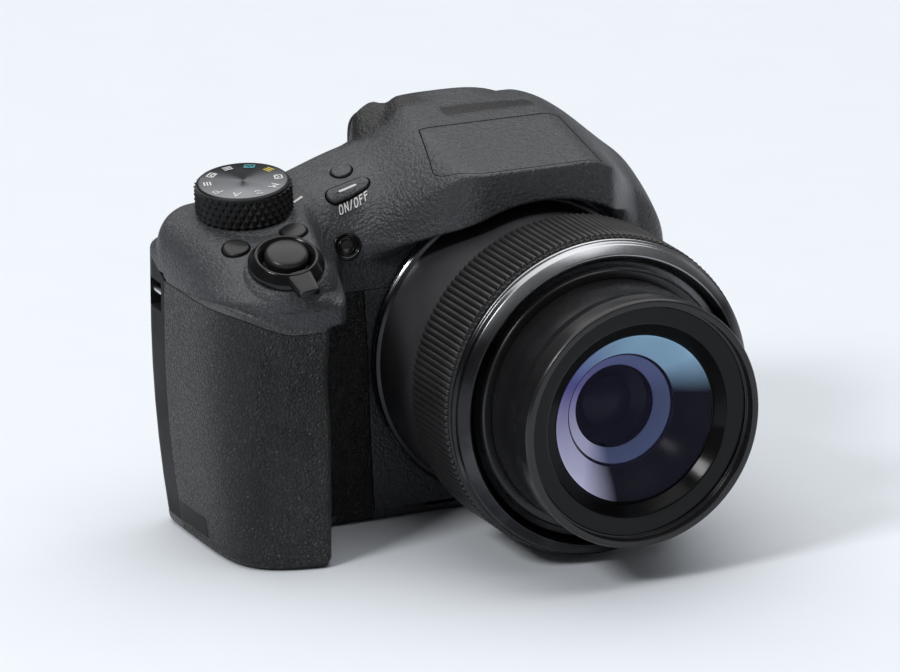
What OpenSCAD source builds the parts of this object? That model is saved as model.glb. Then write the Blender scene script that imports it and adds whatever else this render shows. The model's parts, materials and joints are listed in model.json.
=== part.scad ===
// Bridge camera with a fixed long-zoom lens, modelled as it comes apart on a bench.
// The origin is the mouth of the tripod socket, under the lens axis.
// The lens looks along -Y, the hand grip is at -X and +Z is up. All lengths are in millimetres.

/* [Body] */
// From the lens axis to the grip side
grip_side = 83; // [80:0.5:90]
// From the lens axis to the far side
far_side = 46.6; // [45:0.2:52]
// From the origin back to the rear face
rear_depth = 18; // [17:0.2:24]
// From the origin forward to the front wall
front_depth = 9; // [8.6:0.1:10]
// Clearance of the control ring above the table
ring_lift = 1; // [0.6:0.1:3]
// Height of the front seam between the lower and the top covers
seam_h = 56.5; // [54:0.5:60]
// Height of the rear seam above the front one
rear_seam_rise = 7.5; // [5:0.5:9]
// Wall of the moulded covers
wall = 2; // [1.6:0.1:2.4]
// Thickness of the base cover
base_t = 3; // [2.8:0.1:4]
// Depth of the edge round under the base cover
foot_round = 2.2; // [1:0.1:2.6]

/* [Grip] */
// From the origin forward to the front of the grip
grip_reach = 36; // [33:0.5:42]
// Width of the grip from its outer side to where its inner wall starts
grip_w = 23.5; // [22:0.5:27]
// Run of the inner wall of the grip, from the grip front to the front wall
grip_run = 12; // [10:0.5:16]
// Thickness of the leather-grain rubber
rubber_t = 1.2; // [0.8:0.1:1.6]
// Depth of the finger hollow
finger_depth = 2.4; // [0.5:0.1:4]

/* [Top cover] */
// Height of the top plate at the mode dial
plate_z = 75.5; // [73:0.5:80]
// Height of the front edge of the plate over the grip
crest_z = 65; // [62:0.5:68]
// Middle of the finder hump, from the lens axis
hump_x = -5; // [-8:0.5:0]
// Height of the hump above the fixed barrel
hump_rise = 17.8; // [16.4:0.2:20]
// Fall from the hump to the front edge of the flash lid
lid_fall = 6.5; // [5:0.1:7.2]
// From the origin forward to the visor over the lens
visor_reach = 26; // [24:0.5:30]

/* [Lens] */
// Radius of the filter thread
thread_r = 27.5; // [26.8:0.1:28]
// Wall of the front barrel outside the thread
rim_wall = 1.3; // [1:0.1:1.6]
// Wall of the middle barrel
mid_wall = 2.2; // [1.6:0.1:2.6]
// Wall of the sleeve under the control ring
sleeve_wall = 2.4; // [1.8:0.1:2.8]
// Step from the sleeve out to the fixed barrel
barrel_step = 1.8; // [1.2:0.1:2.2]
// Wall of the ribbed control ring, with its ribs
ring_wall = 4.6; // [3.6:0.1:5]
// Length of the ribbed control ring
ring_len = 20.4; // [16:0.2:22]
// Number of ribs round the control ring
rib_count = 156; // [60:2:180]
// From the origin forward to the front rim, barrels home
lens_reach = 78; // [76:0.5:84]
// Travel of each of the two moving barrels
zoom_step = 28; // [10:1:30]
// Running clearance of the barrels and the ring
run_gap = 0.05; // [0.02:0.01:0.1]

/* [Controls] */
// Radius of the mode dial
dial_r = 11.2; // [9.6:0.1:11.3]
// Height of the mode dial
dial_h = 7.6; // [5:0.1:8.4]
// Radius of the zoom lever ring
lever_r = 8.8; // [8.2:0.1:9.2]
// Radius of the shutter button
shutter_r = 5; // [4.4:0.1:5.2]
// Travel of the shutter button
shutter_travel = 1.2; // [0.5:0.1:1.4]
// Travel of the small buttons
key_travel = 0.5; // [0.2:0.1:0.6]
// Radius of the small round keys
key_r = 3; // [2.4:0.1:3.2]
// Clearance round a key in its hole
key_gap = 0.15; // [0.1:0.01:0.3]

/* [Screen] */
// Width of the tilting screen
screen_w = 74; // [70:0.5:76]
// Height of the tilting screen
screen_h = 49; // [44:0.5:50]
// Thickness of the tilting screen
screen_t = 4.2; // [3.6:0.1:4.6]
// Clearance round the screen in its recess
screen_gap = 0.4; // [0.3:0.05:0.8]

/* [Power and mounts] */
// Thickness of the battery
battery_t = 13; // [10:0.5:13.5]
// Depth of the battery
battery_d = 24; // [18:0.5:24.5]
// Height of the battery
battery_h = 42; // [30:0.5:44]
// Wall of the battery holder
holder_wall = 0.8; // [0.6:0.1:1]
// Nominal radius of the tripod screw
tripod_r = 3.175; // [3.1:0.005:4.8]
// Depth of the tripod thread
tripod_depth = 6; // [5:0.1:7]

/* [Hidden] */
$fn = 64;
eps = 0.01;
seat = 0.05;

// Nested radii of the lens, from the thread outwards, and the heights that follow them
inner_r = thread_r + rim_wall;
mid_r = inner_r + mid_wall;
sleeve_r = mid_r + sleeve_wall;
barrel_r = sleeve_r + barrel_step;
ring_r = sleeve_r + ring_wall;
lens_z = ring_r + ring_lift;
hump_z = lens_z + barrel_r + hump_rise;
lid_edge_z = hump_z - lid_fall;

// Plan of the body: a rounded oblong with the grip as a bulge of its front side
split_y = 2.5;
corner_power = 6;
side_tuck = 4;
tuck_h = 45;
grip_in_x = -grip_side + grip_w;
wall_x = grip_in_x + grip_run;
finger_z = 43;
finger_span = 9;
seam_rise = 5;
seam_drop = 6.5;
grip_rows = 12;

function clip(t) = min(1, max(0, t));
function ease(t) = let (c = clip(t)) c * c * (3 - 2 * c);
function rise(x, from, to) = ease((x - from) / (to - from));
function mix(a, b, w) = a + (b - a) * w;
function bell(t) = exp(-t * t);

// Side lines of the body at a height
function left_x(z) = -grip_side + side_tuck * pow(1 - clip(z / tuck_h), 2);
function right_x(z) =
  far_side - side_tuck * rise(z, 34, 66) - side_tuck * pow(1 - clip(z / tuck_h), 2) / 1.3;

// Share of the grip in the front line: 1 on the grip and 0 on the front wall
function grip_share(x) = 1 - rise(x, grip_in_x, wall_x);
function hollow(x, z) =
  finger_depth * bell((z - finger_z) / finger_span) * rise(x, grip_in_x - 16, grip_in_x);
function front_line(x, z) =
  let (g = grip_share(x))
  mix(-front_depth, -grip_reach, g) + g * hollow(x, z);

function far_drop(x) = seam_drop * rise(x, 18, far_side - 5);
function seam_z(x) = seam_h + seam_rise * rise(-x, grip_side - 17, grip_side) - far_drop(x);

// Point of the lower body: u runs from -1 at the grip side to 1 at the far side, v is the height share,
// side is -1 for the front half and 1 for the rear half, and inset moves it inwards
function end_round(u) = pow(max(0, 1 - pow(abs(u), corner_power)), 1 / corner_power);
function seam_at(u, x, side) = seam_z(x) + (side > 0 ? (rear_seam_rise + far_drop(x)) * end_round(u) : 0);
function plan_point(u, v, side, inset) =
  let (
    zn = v * seam_h,
    xl = left_x(zn) + inset,
    xr = right_x(zn) - inset,
    x = (xl + xr) / 2 + (xr - xl) / 2 * u,
    e = end_round(u),
    yf = front_line(x + (side < 0 ? inset : 0), zn) + inset,
    y = side < 0 ? split_y - (split_y - yf) * e : split_y + (rear_depth - inset - split_y) * e
  )
  [x, y, base_t + v * (seam_at(u, x, side) - base_t)];

// Even steps of the angle give close points at the rounded ends
function end_step(t) = sin(90 * t);
function plan_row(us, v, side, inset) = [for (u = us) plan_point(u, v, side, inset)];
function u_of_x(x) = let (c = (far_side - grip_side) / 2) (x - c) / ((far_side + grip_side) / 2);
function u_range(a, b, n) = [for (i = [0:n]) end_step(mix(asin(a) / 90, asin(b) / 90, i / n))];
function v_range(n) = [for (i = [0:n]) i / n];

// Solid between an outer and an inner grid of points of the same size
module shell_between(outer, inner, flip = false) {
  rows = len(outer);
  cols = len(outer[0]);
  count = rows * cols;
  points = concat([for (row = outer) for (p = row) p], [for (row = inner) for (p = row) p]);
  function at(i, j) = i * cols + j;
  function quad(a, b, c, d) = [[a, b, c], [a, c, d]];
  faces = concat(
    [for (i = [0:rows - 2]) for (j = [0:cols - 2])
      each quad(at(i, j), at(i, j + 1), at(i + 1, j + 1), at(i + 1, j))],
    [for (i = [0:rows - 2]) for (j = [0:cols - 2])
      each quad(count + at(i, j), count + at(i + 1, j), count + at(i + 1, j + 1), count + at(i, j + 1))],
    [for (j = [0:cols - 2])
      each quad(at(0, j), count + at(0, j), count + at(0, j + 1), at(0, j + 1))],
    [for (j = [0:cols - 2])
      each quad(at(rows - 1, j), at(rows - 1, j + 1), count + at(rows - 1, j + 1), count + at(rows - 1, j))],
    [for (i = [0:rows - 2])
      each quad(at(i, 0), at(i + 1, 0), count + at(i + 1, 0), count + at(i, 0))],
    [for (i = [0:rows - 2])
      each quad(at(i, cols - 1), count + at(i, cols - 1), count + at(i + 1, cols - 1), at(i + 1, cols - 1))]
  );
  polyhedron(points, flip ? [for (f = faces) [f[2], f[1], f[0]]] : faces, convexity = 8);
}

module wall_patch(us, vs, side, outer_inset, thick) {
  shell_between(
    [for (v = vs) plan_row(us, v, side, outer_inset)],
    [for (v = vs) plan_row(us, v, side, outer_inset + thick)],
    side < 0
  );
}

// Rounded line through corner points: each corner gives way to a short parabola
function toward(a, b, d) = let (l = max(norm(b - a), eps)) a + (b - a) / l * min(d, 0.49 * l);
function corner_arc(a, c, b, d, n) =
  let (p = toward(c, a, d), q = toward(c, b, d))
  [for (i = [0:n - 1]) let (t = i / (n - 1)) (1 - t) * (1 - t) * p + 2 * t * (1 - t) * c + t * t * q];

// Section of the top cover across the camera: rounded line from the front seam over the top to the rear seam
seam_gap = 0.1;
visor_drop = 0.7;
arch_gap = 3.5;
arch_r = barrel_r + arch_gap;
evf_y = 20.6;
finder_x = hump_x - 3;
block_half = 21.5;
lip_over = 4;

function under_visor(x) = lens_z + sqrt(max(0, arch_r * arch_r - x * x));
function crest(x) =
  crest_z + 9 * rise(x, wall_x - 8.5, -30) + (lid_edge_z - crest_z - 9) * rise(x, -38, hump_x - 13);
function ridge(x) =
  plate_z + (hump_z - plate_z) * (0.6 * rise(x, -66, -24) + 0.4 * rise(x, -34, hump_x - 13));
function visor_share(x) =
  let (t = clip((x - hump_x - 22.5) / 15.5))
  rise(x, -42, hump_x - 9) * (1 - mix(t, ease(t), 0.4));
function evf_share(x) = rise(x, hump_x - 26.5, hump_x - 22) * (1 - rise(x, hump_x + 16, hump_x + 23));
function flare_share(x) = 1 - rise(x, hump_x - 19, hump_x - 12);
function block_z(x) =
  let (
    s = clip(abs(x - finder_x) / block_half),
    low = x > finder_x ? 0.4 : -11
  )
  hump_z + max(low, 13.6 * pow(1 - pow(s, 3), 1 / 3) - 11);
function end_fall(x, xl, xr) =
  let (
    l = clip((xl + 11 - x) / 11),
    r = clip((x - (hump_x + 26)) / (xr - (hump_x + 26)))
  )
  pow(1 - pow(l, 2.2), 1 / 2.2) *
  (0.63 * sqrt(max(0, 1 - pow(r, 2.2))) + 0.37 * (1 - rise(x, hump_x + 16, hump_x + 40)));

function section_corners(x, front, back, seam_f, seam_r, e, fall, inset) =
  let (
    g = grip_share(x - lip_over),
    o = visor_share(x),
    ev = evf_share(x),
    fl = flare_share(x),
    block = block_z(x) - inset,
    lip = min(front, split_y - (split_y - front_line(x + inset - lip_over, seam_h) - inset) * e),
    under = max(seam_f + 2, under_visor(x)) + inset * o,
    tip = mix(lip, -visor_reach + inset, o),
    edge = mix(mix(front, lip, 0.5), -visor_reach + inset, o),
    top_front = max(crest(x), seam_f + 4) - inset,
    top_mid = ridge(x) - inset,
    slope = mix(0.79, 0.47, rise(x, -45, -20)),
    knee_y = mix(mix(-4, lip + 17, g), -12, o),
    back_y = mix(back - 2.5, mix(evf_y - 1.5, evf_y - 7, fl) - inset, ev),
    raw = [
      [front, seam_f],
      [mix(lip, front, o), mix(mix(mix(seam_f, top_front, 0.4), seam_f + 1.2 + inset, g), under, o)],
      [tip, mix(mix(seam_f, top_front, 0.7), under, o)],
      [edge + mix(mix(1.5, 3, o), visor_drop, o), top_front],
      [knee_y, mix(top_front, top_mid, slope)],
      [mix(3, 4, o), top_mid],
      [back_y, top_mid + mix(0.8, mix(block - top_mid, -1.6, fl), ev)],
      [mix(back, evf_y - inset, ev), mix(top_mid - 7, mix(block - 4.5, block, fl), ev)],
      [mix(back, evf_y - inset, ev), mix(mix(seam_r, top_mid, 0.3), 74 + inset, ev)],
      [back, seam_r + mix(1, 4, ev)],
      [back, seam_r]
    ]
  )
  [for (i = [0:len(raw) - 1])
    let (
      p = raw[i],
      low = mix(seam_f, seam_r, clip((p[0] - front) / max(back - front, 1))),
      y = i == 0 ? front : i >= len(raw) - 2 ? back : split_y + (p[0] - split_y) * e
    )
    [y, low + (p[1] - low) * (i == 1 || i == 2 ? mix(fall, 1, o) : fall)]];

corner_rounds = [0, 1, 1.6, 5, 9, 10, 3, 5, 2, 1.5, 0];
visor_rounds = [0, 2, 1.2, 1.2, 9, 10, 3, 5, 2, 1.5, 0];
corner_steps = [0, 2, 2, 3, 3, 3, 3, 2, 2, 2, 0];

function top_row(u, inset) =
  let (
    xl = left_x(seam_h) + inset,
    xr = right_x(seam_h) - inset,
    x = (xl + xr) / 2 + (xr - xl) / 2 * u,
    e = end_round(u),
    f = plan_point(u, 1, -1, inset),
    b = plan_point(u, 1, 1, inset),
    fall = end_fall(x, xl, xr),
    q = section_corners(x, f[1], b[1], f[2] + seam_gap, b[2] + seam_gap, e, fall, inset),
    o = visor_share(x),
    line = concat(
      [q[0]],
      [for (i = [1:len(q) - 2])
        let (
          plain = i == 7 ? mix(corner_rounds[i], 1.2, flare_share(x) * evf_share(x)) : corner_rounds[i],
          d = mix(plain, visor_rounds[i], i == 7 ? 0 : o)
        )
        each corner_arc(q[i - 1], q[i], q[i + 1], d, corner_steps[i])],
      [q[len(q) - 1]]
    )
  )
  [for (p = line) [x, p[0], p[1]]];

top_steps = 44;
top_end = 0.99999;
top_us = [for (i = [0:top_steps]) max(-top_end, min(top_end, end_step(-1 + 2 * i / top_steps)))];

module top_shell() {
  shell_between([for (u = top_us) top_row(u, 0)], [for (u = top_us) top_row(u, wall)]);
}

// Height and lean of the top cover at a place, read off its section
function top_line(x) =
  let (xl = left_x(seam_h), xr = right_x(seam_h))
  top_row((x - (xl + xr) / 2) / ((xr - xl) / 2), 0);
function top_z(x, y) =
  let (line = top_line(x))
  lookup(y, [for (i = [7:14]) [line[i][1], line[i][2]]]);
function front_y(x, z) =
  let (line = top_line(x))
  lookup(z, [for (i = [0:6]) [line[i][2], line[i][1]]]);
function top_lean(x, y, s) =
  let (
    a = (top_z(x + s, y) - top_z(x - s, y)) / (2 * s),
    b = (top_z(x, y + s) - top_z(x, y - s)) / (2 * s)
  )
  [atan(b * cos(atan(a))), -atan(a), 0];

module on_top(x, y, s) {
  translate([x, y, top_z(x, y)])
    rotate(top_lean(x, y, s))
      children();
}

// Plain shapes used throughout
module box(x0, x1, y0, y1, z0, z1) {
  translate([x0, y0, z0])
    cube([x1 - x0, y1 - y0, z1 - z0]);
}

module round_rect(w, h, r) {
  square([w - 2 * r, h], center = true);
  square([w, h - 2 * r], center = true);
  for (i = [-1, 1])
    for (j = [-1, 1])
      translate([i * (w / 2 - r), j * (h / 2 - r)])
        circle(r = r);
}

module pill(w, h) {
  square([w - h, h], center = true);
  for (i = [-1, 1])
    translate([i * (w - h) / 2, 0])
      circle(d = h);
}

module gear_disc(r, depth, n) {
  polygon([for (i = [0:2 * n - 1]) let (a = 180 * i / n, q = r - (i % 2) * depth) [q * cos(a), q * sin(a)]]);
}

module facing_front(d) {
  translate([0, -d, lens_z])
    rotate([90, 0, 0])
      children();
}

module facing_rear(x, y, z) {
  translate([x, y, z])
    rotate([-90, 0, 0])
      children();
}

module along_x(x0, x1, y, z, r) {
  translate([x0, y, z])
    rotate([0, 90, 0])
      cylinder(r = r, h = x1 - x0);
}

module along_y(x, y0, y1, z, r) {
  translate([x, y0, z])
    rotate([-90, 0, 0])
      cylinder(r = r, h = y1 - y0);
}

module lathe(profile) {
  facing_front(0)
    rotate_extrude($fn = 128)
      polygon(profile);
}

// Places of the top controls
dial_at = [-63.6, 0.4, 8];
shutter_at = [-64.4, -24.6, 6];
custom_at = [-72.4, -14.6, 2];
focus_at = [-57.6, -13.6, 2];
finder_at = [-38.4, 2.4, 2];
power_at = [-39.4, -3.3, 4];
grille_at = [hump_x + 5.3, 5.4, 2.4];
lamp_x = -42;
lamp_z = 67.5;
lamp_r = 2.8;
finder_r = 2.4;
power_w = 10.8;
power_h = 4.4;
power_turn = -5;
dial_foot = 0.7;
dial_lift = 1;
stem_r = 3;
button_stem_r = 2.4;
collar_r = 6.2;
collar_in = shutter_r + 0.35;
flange = 0.5;
key_rise = 0.8;

module at_place(p) {
  on_top(p[0], p[1], p[2])
    children();
}

module key_hole(r) {
  translate([0, 0, -6])
    cylinder(r = r + key_gap, h = 12);
}

module round_key(r, deep, lip = flange) {
  rotate_extrude()
    polygon([
      [0, -deep - 1], [r + lip, -deep - 1], [r + lip, -deep], [r, -deep],
      [r, key_rise - 0.35], [r - 0.35, key_rise], [0, key_rise]
    ]);
}

// Flash lid: a piece of the top surface that swings up about a pin behind it
lid_x0 = hump_x - 18.5;
lid_x1 = hump_x + 20.5;
lid_taper = 3.5;
lid_t = 1.8;
lid_gap = 0.4;
pin_r = 0.6;
pin_y = -1.5;
pin_z = top_z(hump_x, pin_y) - 1.35;
knuckle_r = 1.25;
lid_rear = pin_y + 0.8;
lid_steps = 13;

function lid_front(x) = top_line(x)[7][1] + 0.5;
function lid_under(y) = top_z(hump_x, y) - lid_t - 0.3;
function lid_x(i, back = 0) = mix(lid_x0 + lid_taper * back, lid_x1, i / lid_steps);

module lid_outline(gap) {
  polygon(concat(
    [for (i = [0:lid_steps]) let (x = lid_x(i), e = i == 0 ? -gap : i == lid_steps ? gap : 0)
      [x + e, lid_front(x) - gap]],
    [[lid_x1 + gap, lid_rear + 2.5 * gap], [lid_x0 + lid_taper - gap, lid_rear + 2.5 * gap]]
  ));
}

// Eyepiece
finder_z = hump_z - 10.5;
tube_w = 21;
tube_h = 11.8;
cup_z = hump_z - 9.4;
cup_w = 38.4;
cup_h = 19.6;
cup_x = finder_x;

module rear_plate(x, z, y0, y1) {
  facing_rear(x, y0, z)
    linear_extrude(y1 - y0)
      children();
}

module top_cover() {
  color("#2c2d30")
    difference() {
      union() {
        top_shell();
        at_place(dial_at)
          translate([0, 0, -3])
            cylinder(r = dial_r + 0.8, h = 3 + dial_foot);
        at_place(shutter_at)
          translate([0, 0, -3])
            cylinder(r = lever_r + 0.8, h = 3.3);
        at_place(shutter_at)
          translate([0, 0, -3])
            cylinder(r = collar_r, h = 5.5);
        along_x(hump_x - 3.5, hump_x + 3.5, pin_y, pin_z, knuckle_r);
        box(hump_x - 3.5, hump_x + 3.5, pin_y, 2, pin_z - knuckle_r, pin_z + 0.6);
      }
      at_place(dial_at)
        translate([0, 0, -8])
          cylinder(r = stem_r + run_gap, h = 12);
      at_place(shutter_at)
        translate([0, 0, -8])
          cylinder(r = button_stem_r + run_gap, h = 12);
      at_place(shutter_at)
        translate([0, 0, 0.3])
          cylinder(r = collar_in, h = 6);
      at_place(shutter_at)
        translate([0, 0, 0.3])
          difference() {
            cylinder(r = lever_r + 0.4, h = 8);
            translate([0, 0, -1])
              cylinder(r = collar_r, h = 3.2);
          }
      at_place(shutter_at)
        intersection() {
          translate([0, 0, 0.6])
            cylinder(r = lever_r + 4.8, h = 8);
          box(-9, 9, -20, -4, 0, 12);
        }
      at_place(dial_at)
        translate([0, 0, dial_foot])
          cylinder(r = dial_r + 0.4, h = 8);
      at_place(custom_at)
        key_hole(key_r);
      at_place(focus_at)
        key_hole(key_r);
      at_place(finder_at)
        key_hole(finder_r);
      at_place(power_at)
        translate([0, 0, -6])
          linear_extrude(12)
            rotate(power_turn)
              pill(power_w + 2 * key_gap, power_h + 2 * key_gap);
      at_place(grille_at)
        translate([0, 0, -1])
          linear_extrude(4)
            grille_outline(seat);
      translate([lamp_x, front_y(lamp_x, lamp_z), lamp_z])
        rotate([72, 0, 0])
          translate([0, 0, -6])
            cylinder(r = lamp_r + seat, h = 12);
      difference() {
        translate([0, 0, lens_z + arch_r + wall + 0.6])
          linear_extrude(40)
            lid_outline(lid_gap);
        box(hump_x - 3.5, hump_x + 3.5, pin_y - knuckle_r, 4, pin_z - knuckle_r - 4, pin_z + 0.6);
      }
      along_x(hump_x - 4, hump_x + 4, pin_y, pin_z, pin_r + run_gap);
      rear_plate(finder_x, finder_z, evf_y - 5, evf_y + 3)
        square([tube_w + 0.2, tube_h + 0.2], center = true);
    }
}

module grille_outline(gap) {
  polygon([
    [-11.5 - gap, -3 - gap], [8.5 + gap, -3 - gap], [11.5 + gap, 3 + gap], [-8.5 - gap, 3 + gap]
  ]);
}

module mic_grille() {
  color("#101012")
    at_place(grille_at)
      difference() {
        translate([0, 0, -0.95])
          linear_extrude(0.8)
            grille_outline(0);
        for (i = [0:8])
          for (j = [-1:1])
            translate([-8 + 2 * i + j, 1.7 * j, -2])
              cylinder(r = 0.5, h = 3, $fn = 16);
      }
}

module af_lamp() {
  color("#d8d2c8")
    translate([lamp_x, front_y(lamp_x, lamp_z), lamp_z])
      rotate([72, 0, 0])
        rotate_extrude()
          polygon([[0, -3], [lamp_r, -3], [lamp_r, 0.2], [lamp_r - 0.5, 0.6], [0, 0.9]]);
}

module mode_dial() {
  color("#1a1a1c")
    at_place(dial_at)
      difference() {
        union() {
          translate([0, 0, -6])
            cylinder(r = stem_r, h = 8);
          translate([0, 0, dial_lift])
            cylinder(r = dial_r - 0.7, h = dial_h);
          translate([0, 0, dial_lift + 0.6])
            linear_extrude(dial_h - 1.4)
              gear_disc(dial_r, 0.5, 48);
        }
        translate([0, 0, dial_lift + dial_h - 0.5])
          cylinder(r = dial_r - 1.1 + seat, h = 3);
      }
}

module dial_cap() {
  color("#303236")
    at_place(dial_at)
      translate([0, 0, dial_lift + dial_h - 0.5 + seat])
        cylinder(r = dial_r - 1.1, h = 0.55);
}

module zoom_lever() {
  color("#0c0c0d")
    at_place(shutter_at)
      union() {
        rotate_extrude()
          polygon([
            [collar_r + run_gap, 0.45], [lever_r, 0.45], [lever_r, 1.8], [lever_r - 1.5, 3.7],
            [collar_in + 0.1, 4], [collar_in + 0.1, 2.65], [collar_r + run_gap, 2.65]
          ]);
        translate([0, -lever_r - 0.6, 0.9])
          linear_extrude(2.1)
            round_rect(5.6, 7, 1.2);
      }
}

module shutter_button() {
  color("#2a2b2e")
    at_place(shutter_at)
      rotate_extrude()
        polygon([
          [0, -6], [button_stem_r, -6], [button_stem_r, 1.8], [shutter_r, 1.8], [shutter_r, 4.6],
          [shutter_r - 0.4, 5], [shutter_r * 0.6, 5.4], [0, 5.6]
        ]);
}

module custom_key() {
  color("#1d1e20")
    at_place(custom_at)
      round_key(key_r, 4.6, -1.2);
}

module focus_key() {
  color("#1d1e20")
    at_place(focus_at)
      round_key(key_r, 4.6, -1.2);
}

module finder_key() {
  color("#1d1e20")
    at_place(finder_at)
      round_key(finder_r, 3.4, 0.2);
}

module power_key() {
  color("#1d1e20")
    at_place(power_at)
      union() {
        translate([0, 0, -2.2])
          linear_extrude(2.9)
            rotate(power_turn)
              pill(power_w, power_h);
        translate([0, 0, -3.7])
          cylinder(r = 1.4, h = 2);
      }
}

module flash_lid() {
  color("#2c2d30")
    difference() {
      union() {
        shell_between(
          [for (i = [0:lid_steps])
            [for (j = [0:6]) let (x = lid_x(i, j / 6), y = mix(lid_front(lid_x(i)), lid_rear, j / 6))
              [x, y, top_z(x, y)]]],
          [for (i = [0:lid_steps])
            [for (j = [0:6]) let (x = lid_x(i, j / 6), y = mix(lid_front(lid_x(i)), lid_rear, j / 6))
              [x, y + (j == 0 ? 0.6 : 0), top_z(x, y) - lid_t]]]
        );
        for (s = [-1, 1])
          along_x(hump_x + s * 6.55 - 2.45, hump_x + s * 6.55 + 2.45, pin_y, pin_z, knuckle_r);
      }
      box(hump_x - 4, hump_x + 4, pin_y - 1.9, 3, pin_z - 4, pin_z + 6);
      along_x(hump_x - 12, hump_x + 12, pin_y, pin_z, pin_r + run_gap);
    }
}

module flash_head() {
  color("#18191b")
    difference() {
      translate([hump_x - 12, 0, 0])
        rotate([90, 0, 90])
          linear_extrude(24)
            polygon([
              [-19, hump_z - 16], [-9, hump_z - 16], [-9, lid_under(-9)], [-14, lid_under(-14)],
              [-19, lid_under(-19)]
            ]);
      facing_front(0)
        cylinder(r = arch_r + wall + 0.7, h = 40, $fn = 128);
    }
}

module flash_window() {
  color("#e8ecef")
    difference() {
      box(hump_x - 11, hump_x + 11, -19.9, -19.05, hump_z - 16, top_z(hump_x, -19.9) - lid_t - 0.5);
      facing_front(0)
        cylinder(r = arch_r + wall + 1, h = 40, $fn = 128);
    }
}

module flash_pin() {
  color("#9a9da1")
    along_x(hump_x - 8.8, hump_x + 8.8, pin_y, pin_z, pin_r);
}

module eyecup() {
  color("#0f0f10")
    difference() {
      rear_plate(cup_x, cup_z, evf_y + seat, evf_y + 4.6)
        round_rect(cup_w, cup_h, 8);
      rear_plate(finder_x, finder_z, evf_y - 1, evf_y + 6)
        round_rect(22, 12.6, 2);
    }
}

module eye_window() {
  color("#20242c")
    rear_plate(finder_x, finder_z, evf_y + 0.9, evf_y + 1.9)
      round_rect(21.9, 12.5, 1.95);
}

module finder_tube() {
  color("#141415")
    difference() {
      box(finder_x - tube_w / 2, finder_x + tube_w / 2, 9, evf_y, finder_z - tube_h / 2,
        finder_z + tube_h / 2);
      box(finder_x - tube_w / 2 + 1, finder_x + tube_w / 2 - 1, 8, evf_y + 1, finder_z - tube_h / 2 + 1,
        finder_z + tube_h / 2 - 1);
    }
}

module finder_panel() {
  color("#1b2a3a")
    box(finder_x - 9, finder_x + 9, 7.9, 9 - seat, finder_z - 5, finder_z + 5);
}

// Lower covers
pad_x = -barrel_r - 1.6;
grip_us = u_range(-1, u_of_x(wall_x), 24);
pad_us = u_range(u_of_x(wall_x) + 0.003, u_of_x(pad_x - 0.3), 3);
bar_z = 57;
far_bar_z = 46.2;
far_bar_x = 43.1;
bar_r = 0.9;

function side_x(z) = left_x((z - base_t) * seam_h / (seam_h + seam_rise - base_t));

flap_z0 = base_t + 0.3;
flap_z1 = base_t + 5;
flap_y0 = -12.5;
flap_y1 = split_y - 0.4;

module flap_bar(y0, y1, z0, z1, out, in) {
  translate([0, y1, 0])
    rotate([90, 0, 0])
      linear_extrude(y1 - y0)
        polygon([
          [side_x(z0) - out, z0], [side_x(z1) - out, z1], [side_x(z1) + in, z1], [side_x(z0) + in, z0]
        ]);
}

module grip_shell() {
  color("#1c1c1e")
    wall_patch(concat(grip_us, pad_us), v_range(grip_rows), -1, rubber_t + seat, wall);
}

module grip_rubber() {
  color("#161617")
    difference() {
      wall_patch(grip_us, v_range(grip_rows), -1, 0, rubber_t);
      flap_bar(flap_y0 - 0.4, split_y + 1, base_t - 1, flap_z1 + 0.4, 2, rubber_t + 0.4);
    }
}

module cable_flap() {
  color("#1a1a1b")
    flap_bar(flap_y0, flap_y1, flap_z0, flap_z1, 0.05, rubber_t - 0.15);
}

module front_pad() {
  color("#161617")
    wall_patch(pad_us, v_range(grip_rows), -1, 0, rubber_t);
}

module front_cover() {
  color("#1c1c1e")
    difference() {
      union() {
        wall_patch(u_range(u_of_x(pad_x) + 0.002, 1, 16), v_range(6), -1, 0, wall);
        screw_post(38, -4.6);
      }
      facing_front(0)
        cylinder(r = 24, h = 40);
      screw_bore(38, -4.6);
    }
}

post_r = 2.4;
screw_r = 0.85;
post_h = 10;

module screw_post(x, y) {
  translate([x, y, base_t])
    cylinder(r = post_r, h = post_h);
}

module screw_bore(x, y) {
  translate([x, y, base_t - 1])
    cylinder(r = screw_r + seat, h = post_h);
}

rear_posts = [[-43.4, 13.9], [40, 11.2]];
screw_at = concat(rear_posts, [[38, -4.6]]);

// Tilting screen in a pan of the rear cover
screen_x = -1.5;
screen_z0 = 9.3;
pan_y = 11.9;
pan_t = 1.2;
pan_w = screen_w + 2 * screen_gap;
pan_z0 = base_t + 1.6;
pan_z1 = screen_z0 + screen_h + 2.8;
arm_y = pan_y + 1.3;
arm_z = pan_z0 + 2.6;
tilt_y = pan_y + 2.7;
tilt_z = screen_z0 + screen_h - 0.8;
housing_y = pan_y + 1.7;
screen_y = housing_y + screen_t;
hinge_bars = [[-28, -20], [17, 25]];

wheel_x = -58;
wheel_z = 27;
wheel_r = 11;
wheel_floor = 16;
centre_r = 4.4;
movie_at = [-66, 45];
play_at = [-50, 45];
menu_at = [-50, 9.5];
delete_at = [-66, 9.5];
thumb_x = -62;
thumb_y = 9.5;
thumb_z = 52;
thumb_r = 10;
thumb_h = 5;

module rear_hole(p) {
  facing_rear(p[0], 10, p[1])
    cylinder(r = key_r + key_gap, h = 12);
}

module rear_key(p) {
  facing_rear(p[0], rear_depth - 0.35, p[1])
    round_key(key_r, 3);
}

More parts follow.
